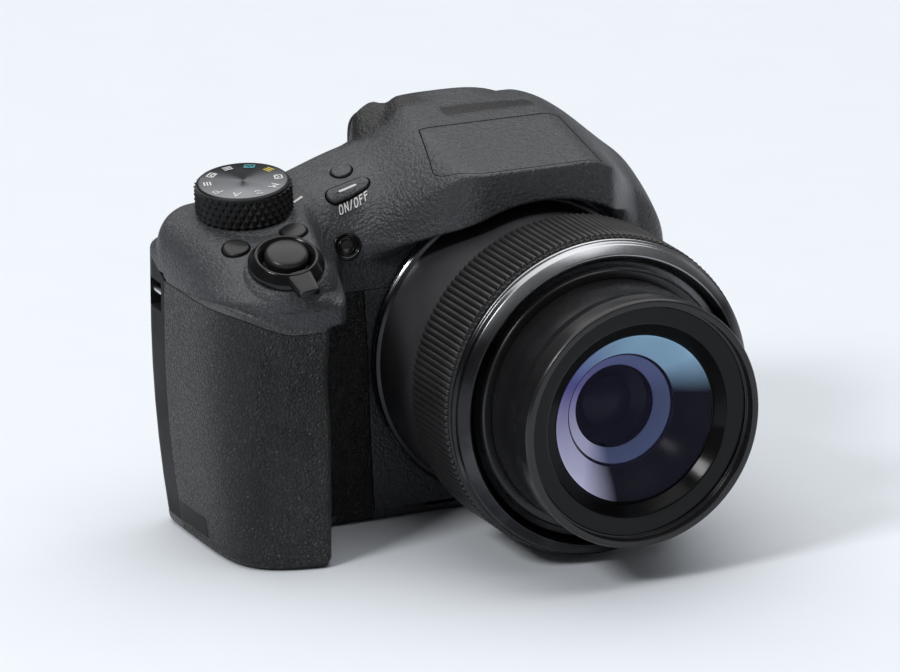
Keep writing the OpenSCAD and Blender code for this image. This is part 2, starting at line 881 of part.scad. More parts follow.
module rear_cover() {
  color("#232426")
    difference() {
      union() {
        wall_patch(u_range(-1, 1, top_steps), v_range(7), 1, 0, wall);
        box(screen_x - pan_w / 2 - pan_t, screen_x + pan_w / 2 + pan_t, pan_y - pan_t, 15.6, base_t,
          pan_z1 + pan_t);
        facing_rear(wheel_x, 12.5, wheel_z)
          cylinder(r = wheel_r + 1.6, h = 4.4);
        box(thumb_x - 2.5, thumb_x + 2.5, thumb_y - 2, 16.4, thumb_z - 2.4, thumb_z - 0.4);
        translate([thumb_x, thumb_y, thumb_z - 0.6])
          cylinder(r = 1.45, h = thumb_h);
        box(-80.5, -75.5, split_y + 0.1, 13.4, bar_z - 5.2, bar_z + 4);
        box(39, 43.2, split_y + 0.1, 13.2, far_bar_z - 4.4, far_bar_z + 3.6);
        for (p = rear_posts)
          screw_post(p[0], p[1]);
      }
      box(screen_x - pan_w / 2, screen_x + pan_w / 2, pan_y, 30, pan_z0, pan_z1);
      along_x(screen_x - pan_w / 2 - 0.9, screen_x + pan_w / 2 + 0.9, arm_y, arm_z, pin_r + run_gap);
      facing_rear(wheel_x, wheel_floor, wheel_z)
        cylinder(r = wheel_r + run_gap, h = 8);
      facing_rear(wheel_x, 10, wheel_z)
        cylinder(r = centre_r + key_gap, h = 12);
      for (p = [movie_at, play_at, menu_at, delete_at])
        rear_hole(p);
      difference() {
        translate([thumb_x, thumb_y, thumb_z - 0.3])
          cylinder(r = thumb_r + 0.4, h = thumb_h + 0.6);
        translate([thumb_x, thumb_y, thumb_z - 1])
          cylinder(r = 1.45, h = thumb_h);
      }
      box(-90, -77.5, 4.5, 12, bar_z - 3.6, bar_z + 3.2);
      along_y(-81, 3.2, 13, bar_z, bar_r + seat);
      box(40.8, 50, 4.5, 12, far_bar_z - 3, far_bar_z + 2.6);
      along_y(far_bar_x, 3.2, 13, far_bar_z, bar_r + seat);
      box(44.4, 50, 3.1, 10.7, 21.7, 42.3);
      box(42, 46, 5, 8.6, 24, 29);
      box(42, 46, 5, 8.6, 33, 40);
      for (p = rear_posts)
        screw_bore(p[0], p[1]);
    }
}

module base_cover() {
  us = u_range(-1, 1, 40);
  back = [for (i = [1:39]) us[40 - i]];
  steps = 4;
  rings = [for (k = [0:steps + 1])
    let (
      a = 90 * min(k, steps) / steps,
      inset = foot_round * (1 - sin(a)),
      z = k > steps ? base_t - seat : foot_round * (1 - cos(a))
    )
    concat(
      [for (u = us) let (p = plan_point(u, 0, -1, inset)) [p[0], p[1], z]],
      [for (u = back) let (p = plan_point(u, 0, 1, inset)) [p[0], p[1], z]]
    )];
  n = len(rings[0]);
  color("#1b1b1d")
    difference() {
      polyhedron(
        [for (ring = rings) for (p = ring) p],
        concat(
          [[for (i = [0:n - 1]) i]],
          [for (k = [0:steps]) for (i = [0:n - 1]) let (j = (i + 1) % n)
            each [[k * n + i, (k + 1) * n + i, (k + 1) * n + j], [k * n + i, (k + 1) * n + j, k * n + j]]],
          [[for (i = [0:n - 1]) (steps + 2) * n - 1 - i]]
        ),
        convexity = 4
      );
      box(door_x0 - 0.35, hinge_x + 1.6, door_y0 - 0.35, door_y1 + 0.35, -1, base_t + 1);
      along_y(hinge_x, door_y0 - 2.4, door_y1 + 2.4, hinge_z, pin_r + run_gap);
      translate([0, 0, -1])
        cylinder(r = bush_r + seat, h = base_t + 2);
      for (p = screw_at) {
        translate([p[0], p[1], -1])
          cylinder(r = screw_r + 0.15, h = base_t + 2);
        translate([p[0], p[1], -1])
          cylinder(r = 2, h = 2.3);
      }
    }
}

module case_screws() {
  color("#3a3b3e")
    for (p = screw_at)
      translate([p[0], p[1], 0])
        difference() {
          union() {
            translate([0, 0, 0.2])
              cylinder(r = 1.85, h = 1.05);
            translate([0, 0, 1])
              cylinder(r = screw_r, h = 8);
          }
          translate([0, 0, 0.4])
            cube([2.2, 0.6, 0.8], center = true);
          translate([0, 0, 0.4])
            cube([0.6, 2.2, 0.8], center = true);
        }
}

// Tripod socket
bush_r = 5;

module tripod_bush() {
  color("#8d9094")
    difference() {
      union() {
        cylinder(r = bush_r, h = 8);
        translate([0, 0, base_t])
          cylinder(r = bush_r + 2, h = 1.5);
      }
      translate([0, 0, -1])
        cylinder(r = tripod_r, h = tripod_depth + 1);
    }
}

module strap_bars() {
  color("#c9ccd0")
    union() {
      along_y(-81, 3.3, 12.9, bar_z, bar_r);
      along_y(far_bar_x, 3.3, 12.9, far_bar_z, bar_r);
    }
}

// Power: battery, card, holder and the door under the grip
battery_x = -67.2;
battery_y = -4;
battery_fit = 0.25;
holder_z = base_t + 0.1;
card_t = 2.1;
card_d = 24;
card_h = 32;
card_x = battery_x + battery_t / 2 + battery_fit + holder_wall + card_t / 2 + 0.2;
card_y = battery_y + 1;
door_x0 = battery_x - battery_t / 2 - 1.05;
door_y0 = battery_y - battery_d / 2 - 0.25;
door_y1 = battery_y + battery_d / 2 + 0.25;
hinge_x = card_x + card_t / 2 + 0.1;
hinge_z = 1.3;
door_t = 2.6;

module battery() {
  color("#2e3238")
    translate([battery_x, battery_y, holder_z + battery_h / 2 + 0.3])
      cube([battery_t, battery_d, battery_h], center = true);
}

module memory_card() {
  color("#23304a")
    translate([card_x, card_y, holder_z + card_h / 2 + 0.3])
      cube([card_t, card_d, card_h], center = true);
}

module battery_holder() {
  w = battery_t + 2 * battery_fit;
  d = battery_d + 2 * battery_fit;
  top = holder_z + battery_h + 0.6;
  slot_d = card_d / 2 + 0.2;
  slot_t = card_t / 2 + 0.2;
  color("#26272a")
    difference() {
      union() {
        translate([battery_x, battery_y, (holder_z + top + holder_wall) / 2])
          cube([w + 2 * holder_wall, d + 2 * holder_wall, top + holder_wall - holder_z], center = true);
        box(battery_x, card_x + card_t / 2 + 0.2 + holder_wall, card_y - slot_d - holder_wall,
          card_y + slot_d + holder_wall, holder_z, holder_z + card_h + 1.4);
      }
      box(battery_x - w / 2, battery_x + w / 2, battery_y - d / 2, battery_y + d / 2, holder_z - 1, top);
      box(card_x - slot_t, card_x + slot_t, card_y - slot_d, card_y + slot_d, holder_z - 1,
        holder_z + card_h + 0.6);
    }
}

module battery_door() {
  color("#1b1b1d")
    difference() {
      union() {
        box(door_x0, hinge_x, door_y0, door_y1, 0, door_t);
        along_y(hinge_x, door_y0, door_y1, hinge_z, 1.25);
      }
      along_y(hinge_x, door_y0 - 1, door_y1 + 1, hinge_z, pin_r + run_gap);
      box(latch_x0 - 0.2, latch_x0 + 8.9, battery_y - 4.2, battery_y + 4.2, -1, 1.3);
    }
}

latch_x0 = door_x0 + 2;

module door_latch() {
  color("#3b3d40")
    box(latch_x0, latch_x0 + 6, battery_y - 4, battery_y + 4, 0.1, 1.2);
}

module door_pin() {
  color("#9a9da1")
    along_y(hinge_x, door_y0 - 2.2, door_y1 + 2.2, hinge_z, pin_r);
}

module jack_cover() {
  color("#19191a")
    box(far_side - 2.1, far_side - 0.9, 3.4, 10.4, lens_z - 17, lens_z + 3);
}

// Rear controls and screen
module movie_key() {
  color("#1d1e20")
    rear_key(movie_at);
}

module play_key() {
  color("#1d1e20")
    rear_key(play_at);
}

module menu_key() {
  color("#1d1e20")
    rear_key(menu_at);
}

module delete_key() {
  color("#1d1e20")
    rear_key(delete_at);
}

module control_wheel() {
  color("#17181a")
    facing_rear(wheel_x, wheel_floor + 0.1, wheel_z)
      difference() {
        cylinder(r = wheel_r, h = 2.4);
        translate([0, 0, -1])
          cylinder(r = centre_r + 0.3, h = 5);
        translate([0, 0, 2])
          difference() {
            cylinder(r = wheel_r - 1.4, h = 2);
            translate([0, 0, -1])
              cylinder(r = centre_r + 1.4, h = 4);
          }
      }
}

module centre_key() {
  color("#242528")
    facing_rear(wheel_x, rear_depth, wheel_z)
      rotate_extrude()
        polygon([
          [0, -6.6], [centre_r + flange, -6.6], [centre_r + flange, -5.9], [centre_r, -5.9], [centre_r, 0.5],
          [centre_r - 0.4, 0.9], [0, 0.9]
        ]);
}

module thumb_dial() {
  color("#17181a")
    translate([thumb_x, thumb_y, thumb_z])
      difference() {
        linear_extrude(thumb_h)
          gear_disc(thumb_r, 0.4, 44);
        translate([0, 0, -1])
          cylinder(r = 1.45 + run_gap, h = thumb_h + 2);
      }
}

module screen_bracket() {
  color("#2b2c2f")
    difference() {
      union() {
        box(screen_x - 32, screen_x + 32, pan_y + 0.2, pan_y + 1.4, arm_z, tilt_z - 1.1);
        along_x(screen_x - pan_w / 2 + 0.4, screen_x + pan_w / 2 - 0.4, arm_y, arm_z, 1.1);
        along_x(screen_x - pan_w / 2 - 0.7, screen_x + pan_w / 2 + 0.7, arm_y, arm_z, pin_r);
        for (b = hinge_bars) {
          along_x(screen_x + b[0], screen_x + b[1], tilt_y, tilt_z, 1.2);
          box(screen_x + b[0], screen_x + b[1], pan_y + 0.2, tilt_y - 0.6, tilt_z - 2.5, tilt_z);
        }
      }
      for (b = hinge_bars)
        along_x(screen_x + b[0] - 1, screen_x + b[1] + 1, tilt_y, tilt_z, pin_r + run_gap);
    }
}

module screen_housing() {
  x0 = screen_x - screen_w / 2;
  x1 = screen_x + screen_w / 2;
  color("#1a1b1d")
    difference() {
      union() {
        box(x0, x1, housing_y, screen_y, screen_z0, tilt_z - 1.5);
        box(x0, x1, tilt_y + 1.4, screen_y, screen_z0, screen_z0 + screen_h);
        for (b = hinge_bars) {
          s = b[0] < 0 ? 1 : -1;
          in = b[0] < 0 ? b[1] : b[0];
          from = screen_x + (s > 0 ? in + 0.3 : in - 8);
          to = screen_x + (s > 0 ? in + 8 : in - 0.3);
          along_x(from, to, tilt_y, tilt_z, 1.2);
          box(from, to, tilt_y - 0.6, tilt_y + 1.4, tilt_z - 2.5, tilt_z);
        }
      }
      for (b = hinge_bars)
        box(screen_x + b[0] - 0.4, screen_x + b[1] + 0.4, housing_y - 1, tilt_y + 1.4, tilt_z - 4,
          tilt_z + 4);
      box(x0 + 3, x1 - 3, screen_y - 0.9, screen_y + 1, screen_z0 + 3, screen_z0 + screen_h - 3);
    }
  color("#1a1b1d")
    for (b = hinge_bars) {
      s = b[0] < 0 ? 1 : -1;
      in = b[0] < 0 ? b[1] : b[0];
      from = screen_x + in - (s > 0 ? 5 : 2);
      along_x(from, from + 7, tilt_y, tilt_z, pin_r);
    }
}

module screen_glass() {
  color("#0b0d12")
    box(screen_x - screen_w / 2 + 3.05, screen_x + screen_w / 2 - 3.05, screen_y - 0.85, screen_y + 0.1,
      screen_z0 + 3.05, screen_z0 + screen_h - 3.05);
}

// Lens, drawn as profiles of radius and forward distance
flange_d = front_depth + seat;
ring_d0 = lens_reach - 23.3 - ring_len;
ring_d1 = ring_d0 + ring_len;
rear_d = flange_d + 3;
cell_r = thread_r - 7.5;
stop_r = thread_r - 11.5;
thread_len = 2.5;
ring_seat = 0.6;

module fixed_barrel() {
  color("#1d1d20")
    lathe([
      [stop_r, flange_d], [barrel_r, flange_d], [barrel_r, ring_d0 - 0.3], [sleeve_r, ring_d0 - 0.3],
      [sleeve_r, ring_d1 + 0.3], [mid_r + run_gap, ring_d1 + 0.3], [mid_r + run_gap, rear_d],
      [stop_r, rear_d]
    ]);
}

module trim_ring() {
  color("#b9bcc0")
    lathe([
      [barrel_r + seat, flange_d + 0.5], [barrel_r + 1.4, flange_d + 0.5], [barrel_r + 1.4, flange_d + 2.1],
      [barrel_r + 0.8, flange_d + 2.9], [barrel_r + seat, flange_d + 2.9]
    ]);
}

module control_ring() {
  color("#161617")
    union() {
      lathe([
        [sleeve_r + run_gap, ring_d0], [ring_r - 0.6, ring_d0], [ring_r - 0.2, ring_d0 + 0.4],
        [ring_r - 0.2, ring_d0 + 1.6], [ring_r - 0.7, ring_d0 + 1.7], [ring_r - 0.7, ring_d1 - 1.7],
        [ring_r - 0.2, ring_d1 - 1.6],
        [ring_r - 0.2, ring_d1 - 0.4], [ring_r - 0.6, ring_d1], [sleeve_r + run_gap, ring_d1]
      ]);
      facing_front(ring_d0 + 1.65)
        linear_extrude(ring_len - 3.3)
          difference() {
            gear_disc(ring_r, 0.65, rib_count);
            circle(r = ring_r - 2, $fn = 128);
          }
    }
}

module bezel_ring() {
  color("#a9acb0")
    lathe([
      [mid_r + run_gap, ring_d1 + 0.4], [ring_r - 1.1, ring_d1 + 0.4], [ring_r - 1.1, ring_d1 + 2.9],
      [ring_r - 2.1, ring_d1 + 4.5], [ring_r - 5.1, ring_d1 + 2.4], [mid_r + run_gap, ring_d1 + 1.9]
    ]);
}

module mid_barrel() {
  color("#26272a")
    lathe([
      [stop_r - 1, rear_d + 1], [mid_r, rear_d + 1], [mid_r, ring_d1 + 3.3], [mid_r - 0.4, ring_d1 + 3.7],
      [inner_r + run_gap, ring_d1 + 3.7], [inner_r + run_gap, rear_d + 4], [stop_r - 1, rear_d + 4]
    ]);
}

module mid_lens() {
  color("#9fb4c8")
    lathe([
      [0, rear_d + 1.6], [stop_r - 1 - seat, rear_d + 1.2], [stop_r - 1 - seat, rear_d + 3.8],
      [0, rear_d + 3]
    ]);
}

module front_barrel() {
  color("#1d1d20")
    lathe([
      [inner_r, rear_d + 4.6], [inner_r, lens_reach - 8], [inner_r + 0.5, lens_reach - 5],
      [inner_r + 0.5, lens_reach - 0.6], [inner_r + 0.1, lens_reach], [thread_r, lens_reach],
      [thread_r, lens_reach - thread_len], [thread_r - ring_seat, lens_reach - thread_len],
      [thread_r - ring_seat, lens_reach - 6], [cell_r + seat, lens_reach - 6],
      [cell_r + seat, lens_reach - 9],
      [inner_r - 1.8, lens_reach - 9], [inner_r - 1.8, rear_d + 4.6]
    ]);
}

module name_ring() {
  color("#0a0a0b")
    lathe([
      [cell_r - 0.4, lens_reach - 5.9], [thread_r - ring_seat - 0.1, lens_reach - 5.9],
      [thread_r - ring_seat - 0.1, lens_reach - thread_len - 0.1], [thread_r - 4.7, lens_reach - 3.2],
      [thread_r - 5.2, lens_reach - 3.8], [thread_r - 5.7, lens_reach - 3.8],
      [thread_r - 6.2, lens_reach - 4.4], [thread_r - 6.8, lens_reach - 4.4], [cell_r - 0.4, lens_reach - 5]
    ]);
}

module front_lens() {
  bulge = 60;
  color("#8fa6c4")
    intersection() {
      facing_front(lens_reach - 9)
        union() {
          cylinder(r = cell_r, h = 3);
          cylinder(r = cell_r - 0.6, h = 8);
        }
      translate([0, bulge - lens_reach + 3, lens_z])
        sphere(r = bulge, $fn = 128);
    }
}

module rear_lens() {
  color("#9fb4c8")
    lathe([
      [0, flange_d + 0.3], [stop_r - seat, flange_d + 0.3], [stop_r - seat, rear_d - 0.3], [0, rear_d - 0.6]
    ]);
}

module image_sensor() {
  color("#3a4a5a")
    box(-8.5, 8.5, -7.9, -6.15, lens_z - 7, lens_z + 7);
}

chassis_x0 = -grip_side + 49;
chassis_x1 = far_side - 17.6;

module chassis() {
  color("#8d9094")
    union() {
      box(chassis_x0, chassis_x1, -6.1, -5.1, base_t + 2, seam_h - 6.5);
      for (x = [chassis_x0 + 4, chassis_x1 - 4])
        for (z = [base_t + 9, seam_h - 10.5])
          along_y(x, -5.5, 1, z, 2);
    }
}

module main_board() {
  color("#1f4a34")
    box(-grip_side + 45, far_side - 10.6, 1.05, 2.25, base_t + 5, seam_h + 1.5);
}

grip_shell();
front_cover();
rear_cover();
base_cover();
top_cover();
grip_rubber();
front_pad();
fixed_barrel();
trim_ring();
bezel_ring();
control_ring();
mid_barrel();
mid_lens();
front_barrel();
name_ring();
front_lens();
rear_lens();
image_sensor();
chassis();
main_board();
tripod_bush();
strap_bars();
battery_holder();
battery();
memory_card();
battery_door();
door_pin();
door_latch();
cable_flap();
jack_cover();
mode_dial();
dial_cap();
zoom_lever();
shutter_button();
custom_key();
focus_key();
finder_key();
power_key();
af_lamp();
mic_grille();
flash_lid();
flash_head();
flash_window();
flash_pin();
eyecup();
eye_window();
finder_tube();
finder_panel();
screen_bracket();
screen_housing();
screen_glass();
movie_key();
play_key();
menu_key();
delete_key();
control_wheel();
centre_key();
thumb_dial();
case_screws();
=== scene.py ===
"""Looks of the bridge camera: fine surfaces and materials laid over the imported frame.

Every new surface is a numpy grid in millimetres, written in the frame of the CAD: the lens looks along -Y, the
grip is at -X and +Z is up. Sizes and colours are properties of the scene, and one operator builds each group.
"""

import json

import bpy
import numpy as np
from mathutils import Matrix, Vector


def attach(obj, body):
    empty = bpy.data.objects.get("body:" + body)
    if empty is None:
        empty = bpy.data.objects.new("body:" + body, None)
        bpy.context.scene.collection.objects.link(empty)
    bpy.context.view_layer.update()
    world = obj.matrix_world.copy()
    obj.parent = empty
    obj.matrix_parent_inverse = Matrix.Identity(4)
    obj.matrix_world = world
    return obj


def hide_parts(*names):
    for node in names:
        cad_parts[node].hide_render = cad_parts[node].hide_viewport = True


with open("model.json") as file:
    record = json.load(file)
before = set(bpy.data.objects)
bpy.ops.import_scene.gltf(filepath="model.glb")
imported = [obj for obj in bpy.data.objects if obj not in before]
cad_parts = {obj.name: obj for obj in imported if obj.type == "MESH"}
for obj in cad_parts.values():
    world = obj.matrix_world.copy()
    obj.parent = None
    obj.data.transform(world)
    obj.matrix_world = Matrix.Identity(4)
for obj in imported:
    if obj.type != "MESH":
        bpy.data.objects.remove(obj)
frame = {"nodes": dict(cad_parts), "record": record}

bl_info = {
    "name": "Bridge camera looks",
    "version": (1, 0, 0),
    "blender": (4, 5, 0),
    "location": "View3D > Sidebar > Camera",
    "description": "Builds the surfaces, materials and stage of a bridge camera",
    "category": "Add Mesh",
}

MM = 0.001  # metres in a millimetre


def length(default, about):
    """A size in millimetres."""
    return bpy.props.FloatProperty(description=about + ", in millimetres", default=default)


class CameraSizes(bpy.types.PropertyGroup):
    """Sizes of the camera in millimetres, the same values as the CAD."""

    grip_side: length(83.0, "Lens axis to the side of the grip")
    far_side: length(46.6, "Lens axis to the far side")
    rear_depth: length(18.0, "Rear face behind the middle plane")
    front_depth: length(9.0, "Front face before the middle plane")
    lens_z: length(39.0, "Lens axis above the floor")
    seam_h: length(56.5, "Seam under the top cover at the front")
    rear_seam_rise: length(7.5, "How much higher the seam is at the back")
    base_t: length(3.0, "Thickness of the base cover")
    foot_round: length(2.2, "Rounding along the lower edge")
    grip_reach: length(36.0, "Front of the grip before the middle plane")
    grip_w: length(23.5, "Width of the grip's front")
    grip_run: length(12.0, "Width over which the grip falls back to the front")
    finger_depth: length(2.4, "Depth of the hollow for the middle finger")
    plate_z: length(75.5, "Height of the plate under the mode dial")
    crest_z: length(65.0, "Height of the front crest over the grip")
    hump_x: length(-5.0, "Middle of the finder hump")
    hump_z: length(92.0, "Top of the finder hump")
    lid_edge_z: length(85.5, "Front edge of the flash lid")
    visor_reach: length(26.0, "Front of the visor before the middle plane")
    ring_r: length(38.0, "Radius over the ribs of the control ring")
    ring_len: length(20.4, "Length of the control ring")
    rib_count: bpy.props.IntProperty(description="Ribs round the control ring", default=156)
    barrel_r: length(35.2, "Radius of the fixed barrel")
    lens_reach: length(78.0, "Front rim of the lens before the middle plane")
    thread_r: length(27.5, "Radius of the filter thread")
    dial_r: length(11.2, "Radius of the mode dial")
    dial_h: length(7.6, "Height of the mode dial")
    lever_r: length(8.8, "Radius of the zoom lever")
    shutter_r: length(5.0, "Radius of the shutter button")
    key_r: length(3.0, "Radius of the round keys")


def colour(name, r, g, b):
    """A linear colour."""
    return bpy.props.FloatVectorProperty(name=name, description=name + " colour", subtype="COLOR", size=3, min=0.0,
                                         max=1.0, default=(r, g, b))


class CameraColours(bpy.types.PropertyGroup):
    """Linear colours of the finishes."""

    cover: colour("Cover plastic", 0.048, 0.050, 0.055)
    leather: colour("Grip leather", 0.020, 0.0207, 0.0225)
    barrel: colour("Lens barrel", 0.011, 0.011, 0.0119)
    ring: colour("Control ring", 0.018, 0.018, 0.019)
    bright: colour("Bright trim", 0.62, 0.63, 0.65)
    chrome: colour("Dark chrome", 0.035, 0.035, 0.038)
    dial: colour("Dial cap", 0.19, 0.195, 0.205)
    # the next two colours are painted reflections of the inner glass, which also glow
    glass_blue_reflection: colour("Blue coating", 0.40, 0.68, 0.90)
    glass_violet_reflection: colour("Violet coating", 0.74, 0.74, 1.0)
    floor: colour("Floor", 0.83, 0.87, 0.92)


# Numbers and shapes of the body


def clip(t):
    """Value held between 0 and 1."""
    return np.clip(t, 0.0, 1.0)


def ramp(n):
    """Shares from 0 to 1 in n even steps, ends included."""
    return np.linspace(0, 1, n)


def rise(x, a, b):
    """Smooth step from 0 at a to 1 at b."""
    t = clip((x - a) / (b - a))
    return t * t * (3 - 2 * t)


def mix(a, b, w):
    """Value between a and b by a share."""
    return a + (b - a) * w


class Form:
    """The body's driving lines, worked out from the sizes for whole arrays at once."""

    split_y = 2.5
    power = 6.0
    tuck = 4.0
    tuck_h = 45.0
    seam_rise = 5.0
    seam_drop = 6.5
    finder_face = 20.6
    finger_z = 43.0
    finger_high = 9.0
    lip_over = 4.0
    arc = 9
    run = 8
    first = 3 * (arc + run)
    last = 1 + 6 * run + 5 * arc
    lid_taper = 3.5
    lid_round = 2.0
    dial_at = (-63.6, 0.4, 8)
    shutter_at = (-64.4, -24.6, 6)
    custom_at = (-72.4, -14.6, 2)
    focus_at = (-57.6, -13.6, 2)
    finder_at = (-38.4, 2.4, 2)
    power_at = (-39.4, -3.3, 4)
    lamp_at = (-42.0, 67.5)

    def __init__(self, s):
        self.s = s
        self.grip_in = -s.grip_side + s.grip_w
        self.wall_x = self.grip_in + s.grip_run
        self.pad_x = -s.barrel_r - 1.6
        self.arch_r = s.barrel_r + 3.5
        self.lid_x0 = s.hump_x - 18.5
        self.lid_x1 = s.hump_x + 20.5
        self.lid_rear = -0.7
        self.table = self.sections(self.spread(320))

    def spread(self, n):
        """Shares along the width from -1 to 1, closer together at both ends."""
        return np.sin(np.linspace(-0.5, 0.5, n) * np.pi).clip(-0.99999, 0.99999)

    def left_x(self, z):
        """Grip side at a height, tucked in towards the foot."""
        return -self.s.grip_side + self.tuck * (1 - clip(z / self.tuck_h)) ** 2

    def right_x(self, z):
        """Far side at a height, tucked in towards the foot and the seam."""
        tuck = self.tuck
        return self.s.far_side - tuck * rise(z, 34, 66) - tuck * (1 - clip(z / self.tuck_h)) ** 2 / 1.3

    def grip_share(self, x):
        return 1 - rise(x, self.grip_in, self.wall_x)

    def front_line(self, x, z):
        """Depth of the front wall: the grip, its hollow for the middle finger and the fall to the cover."""
        s = self.s
        g = self.grip_share(x)
        band = np.exp(-((z - self.finger_z) / self.finger_high) ** 2)
        hollow = s.finger_depth * band * rise(x, self.grip_in - 16, self.grip_in)
        return mix(-s.front_depth, -s.grip_reach, g) + g * hollow

    def far_drop(self, x):
        return self.seam_drop * rise(x, 18, self.s.far_side - 5)

    def end_round(self, u):
        """Superellipse that rounds the plan at both ends."""
        return np.maximum(0, 1 - np.abs(u) ** self.power) ** (1 / self.power)

    def seam_at(self, u, x, side):
        """Height of the seam under the top cover on one half of the body."""
        s = self.s
        z = s.seam_h + self.seam_rise * rise(-x, s.grip_side - 17, s.grip_side) - self.far_drop(x)
        return z + ((s.rear_seam_rise + self.far_drop(x)) * self.end_round(u) if side > 0 else 0)

    def plan_point(self, u, v, side, inset=0.0):
        """Point of the lower body: u runs round one half from the grip to the far side and v is the height share."""
        s = self.s
        zn = v * s.seam_h
        xl, xr = self.left_x(zn) + inset, self.right_x(zn) - inset
        x = (xl + xr) / 2 + (xr - xl) / 2 * u
        e = self.end_round(u)
        if side < 0:
            y = self.split_y - (self.split_y - self.front_line(x + inset, zn) - inset) * e
        else:
            y = self.split_y + (s.rear_depth - inset - self.split_y) * e
        return stacked(x, y, mix(s.base_t, self.seam_at(u, x, side), v))

    def u_of_x(self, x):
        """Share along the lower body's width of a place x."""
        s = self.s
        return (x - (s.far_side - s.grip_side) / 2) / ((s.far_side + s.grip_side) / 2)

    def crest(self, x):
        """Height of the front crest: low over the grip, up the saddle to the lid's edge."""
        s = self.s
        low = s.crest_z + 9 * rise(x, self.wall_x - 8.5, -30)
        return low + (s.lid_edge_z - s.crest_z - 9) * rise(x, -38, s.hump_x - 13)

    def ridge(self, x):
        """Height of the middle: from the dial's plate to the top of the hump in two blended rises."""
        s = self.s
        return mix(s.plate_z, s.hump_z, 0.6 * rise(x, -66, -24) + 0.4 * rise(x, -34, s.hump_x - 13))

    def visor_share(self, x):
        """How much of a section is visor."""
        h = self.s.hump_x
        t = clip((x - h - 22.5) / 15.5)
        return rise(x, -42, h - 9) * (1 - mix(t, t * t * (3 - 2 * t), 0.4))

    def finder_share(self, x):
        """How much of a section is the finder's block."""
        h = self.s.hump_x
        return rise(x, h - 26.5, h - 22) * (1 - rise(x, h + 16, h + 23))

    def block(self, x):
        """Height of the finder's block: a cubic superellipse, held above the hump on the far side."""
        s = clip(np.abs(x - self.s.hump_x + 3) / 21.5)
        low = np.where(x > self.s.hump_x - 3, 0.4, -11.0)
        return self.s.hump_z + np.maximum(low, 13.6 * (1 - s ** 3) ** (1 / 3) - 11)

    def end_fall(self, x, xl, xr):
        """Share of the height left towards both ends."""
        h = self.s.hump_x
        l = clip((xl + 11 - x) / 11)
        r = clip((x - (h + 26)) / (xr - (h + 26)))
        right = 0.63 * np.sqrt(np.maximum(0, 1 - r ** 2.2)) + 0.37 * (1 - rise(x, h + 16, h + 40))
        return (1 - l ** 2.2) ** (1 / 2.2) * right

    def corners(self, u):
        """Corner points of the sections of the top cover and their rounding lengths, one section per u."""
        s = self.s
        xl, xr = self.left_x(s.seam_h), self.right_x(s.seam_h)
        x = (xl + xr) / 2 + (xr - xl) / 2 * u
        e = self.end_round(u)
        f = self.plan_point(u, 1.0, -1)
        b = self.plan_point(u, 1.0, 1)
        front, back = f[:, 1], b[:, 1]
        low_f, low_r = f[:, 2] + 0.1, b[:, 2] + 0.1
        fall = self.end_fall(x, xl, xr)
        g, o, ev = self.grip_share(x - self.lip_over), self.visor_share(x), self.finder_share(x)
        flare = 1 - rise(x, s.hump_x - 19, s.hump_x - 12)
        block = self.block(x)
        lip = np.minimum(front, mix(self.split_y, self.front_line(x - self.lip_over, s.seam_h), e))
        arch = s.lens_z + np.sqrt(np.maximum(0, self.arch_r ** 2 - x * x))
        under = np.maximum(low_f + 2, arch)
        tip = mix(lip, -s.visor_reach, o)
        edge = mix(mix(front, lip, 0.5), -s.visor_reach, o)
        top = np.maximum(self.crest(x), low_f + 4)
        mid = self.ridge(x)
        slope = mix(0.79, 0.47, rise(x, -45, -20))
        face = mix(back, self.finder_face, ev)
        raw = [
            (front, low_f),
            (mix(lip, front, o), mix(mix(mix(low_f, top, 0.4), low_f + 1.2, g), under, o)),
            (tip, mix(mix(low_f, top, 0.7), under, o)),
            (edge + mix(mix(1.5, 3, o), 0.7, o), top),
            (mix(mix(-4, lip + 17, g), -12, o), mix(top, mid, slope)),
            (mix(3, 4, o), mid),
            (mix(back - 2.5, mix(self.finder_face - 1.5, self.finder_face - 7, flare), ev),
             mid + mix(0.8, mix(block - mid, -1.6, flare), ev)),
            (face, mix(mid - 7, block - 4.5 * (1 - flare) ** 2, ev)),
            (face, mix(mix(low_r, mid, 0.3), 74, ev)),
            (back, low_r + mix(1, 4, ev)),
            (back, low_r),
        ]
        q = np.stack([stacked(a, c) for a, c in raw], 1)
        across = clip((q[..., 0] - front[:, None]) / (back - front)[:, None].clip(1))
        low = mix(low_f[:, None], low_r[:, None], across)
        lift = np.repeat(fall[:, None], 11, 1)
        lift[:, 1:3] = mix(fall, 1, o)[:, None]
        y = self.split_y + (q[..., 0] - self.split_y) * e[:, None]
        y[:, 0], y[:, 9], y[:, 10] = front, back, back
        q = np.stack([y, low + (q[..., 1] - low) * lift], -1)
        plain = np.array([0, 1, 1.6, 5, 9, 10, 3, 5, 2, 1.5, 0])
        visor = np.array([0, 2, 1.0, 0.8, 9, 10, 3, 5, 2, 1.5, 0])
        rounds = plain + (visor - plain) * o[:, None]
        rounds[:, 7] = mix(5, 1.2, flare * ev)
        return x, q, rounds

    def sections(self, u):
        """Rounded sections: straight runs between corners, and a parabola in place of each corner."""
        x, q, d = self.corners(u)
        p, r, bows = corner_bows(q, d[:, 1:-1, None], 0.49, self.arc)
        starts = np.concatenate([q[:, :1], r], 1)
        ends = np.concatenate([p, q[:, -1:]], 1)
        w = ramp(self.run + 2)[1:-1, None]
        runs = starts[:, :, None] * (1 - w) + ends[:, :, None] * w
        parts = [q[:, :1]]
        for i in range(9):
            parts += [runs[:, i], bows[:, i]]
        parts += [runs[:, 9], q[:, -1:]]
        return x, np.concatenate(parts, 1)

    def u_top(self, x):
        """Share along the cover's width of a place x."""
        xl, xr = self.left_x(self.s.seam_h), self.right_x(self.s.seam_h)
        return (np.atleast_1d(x) - (xl + xr) / 2) / ((xr - xl) / 2)

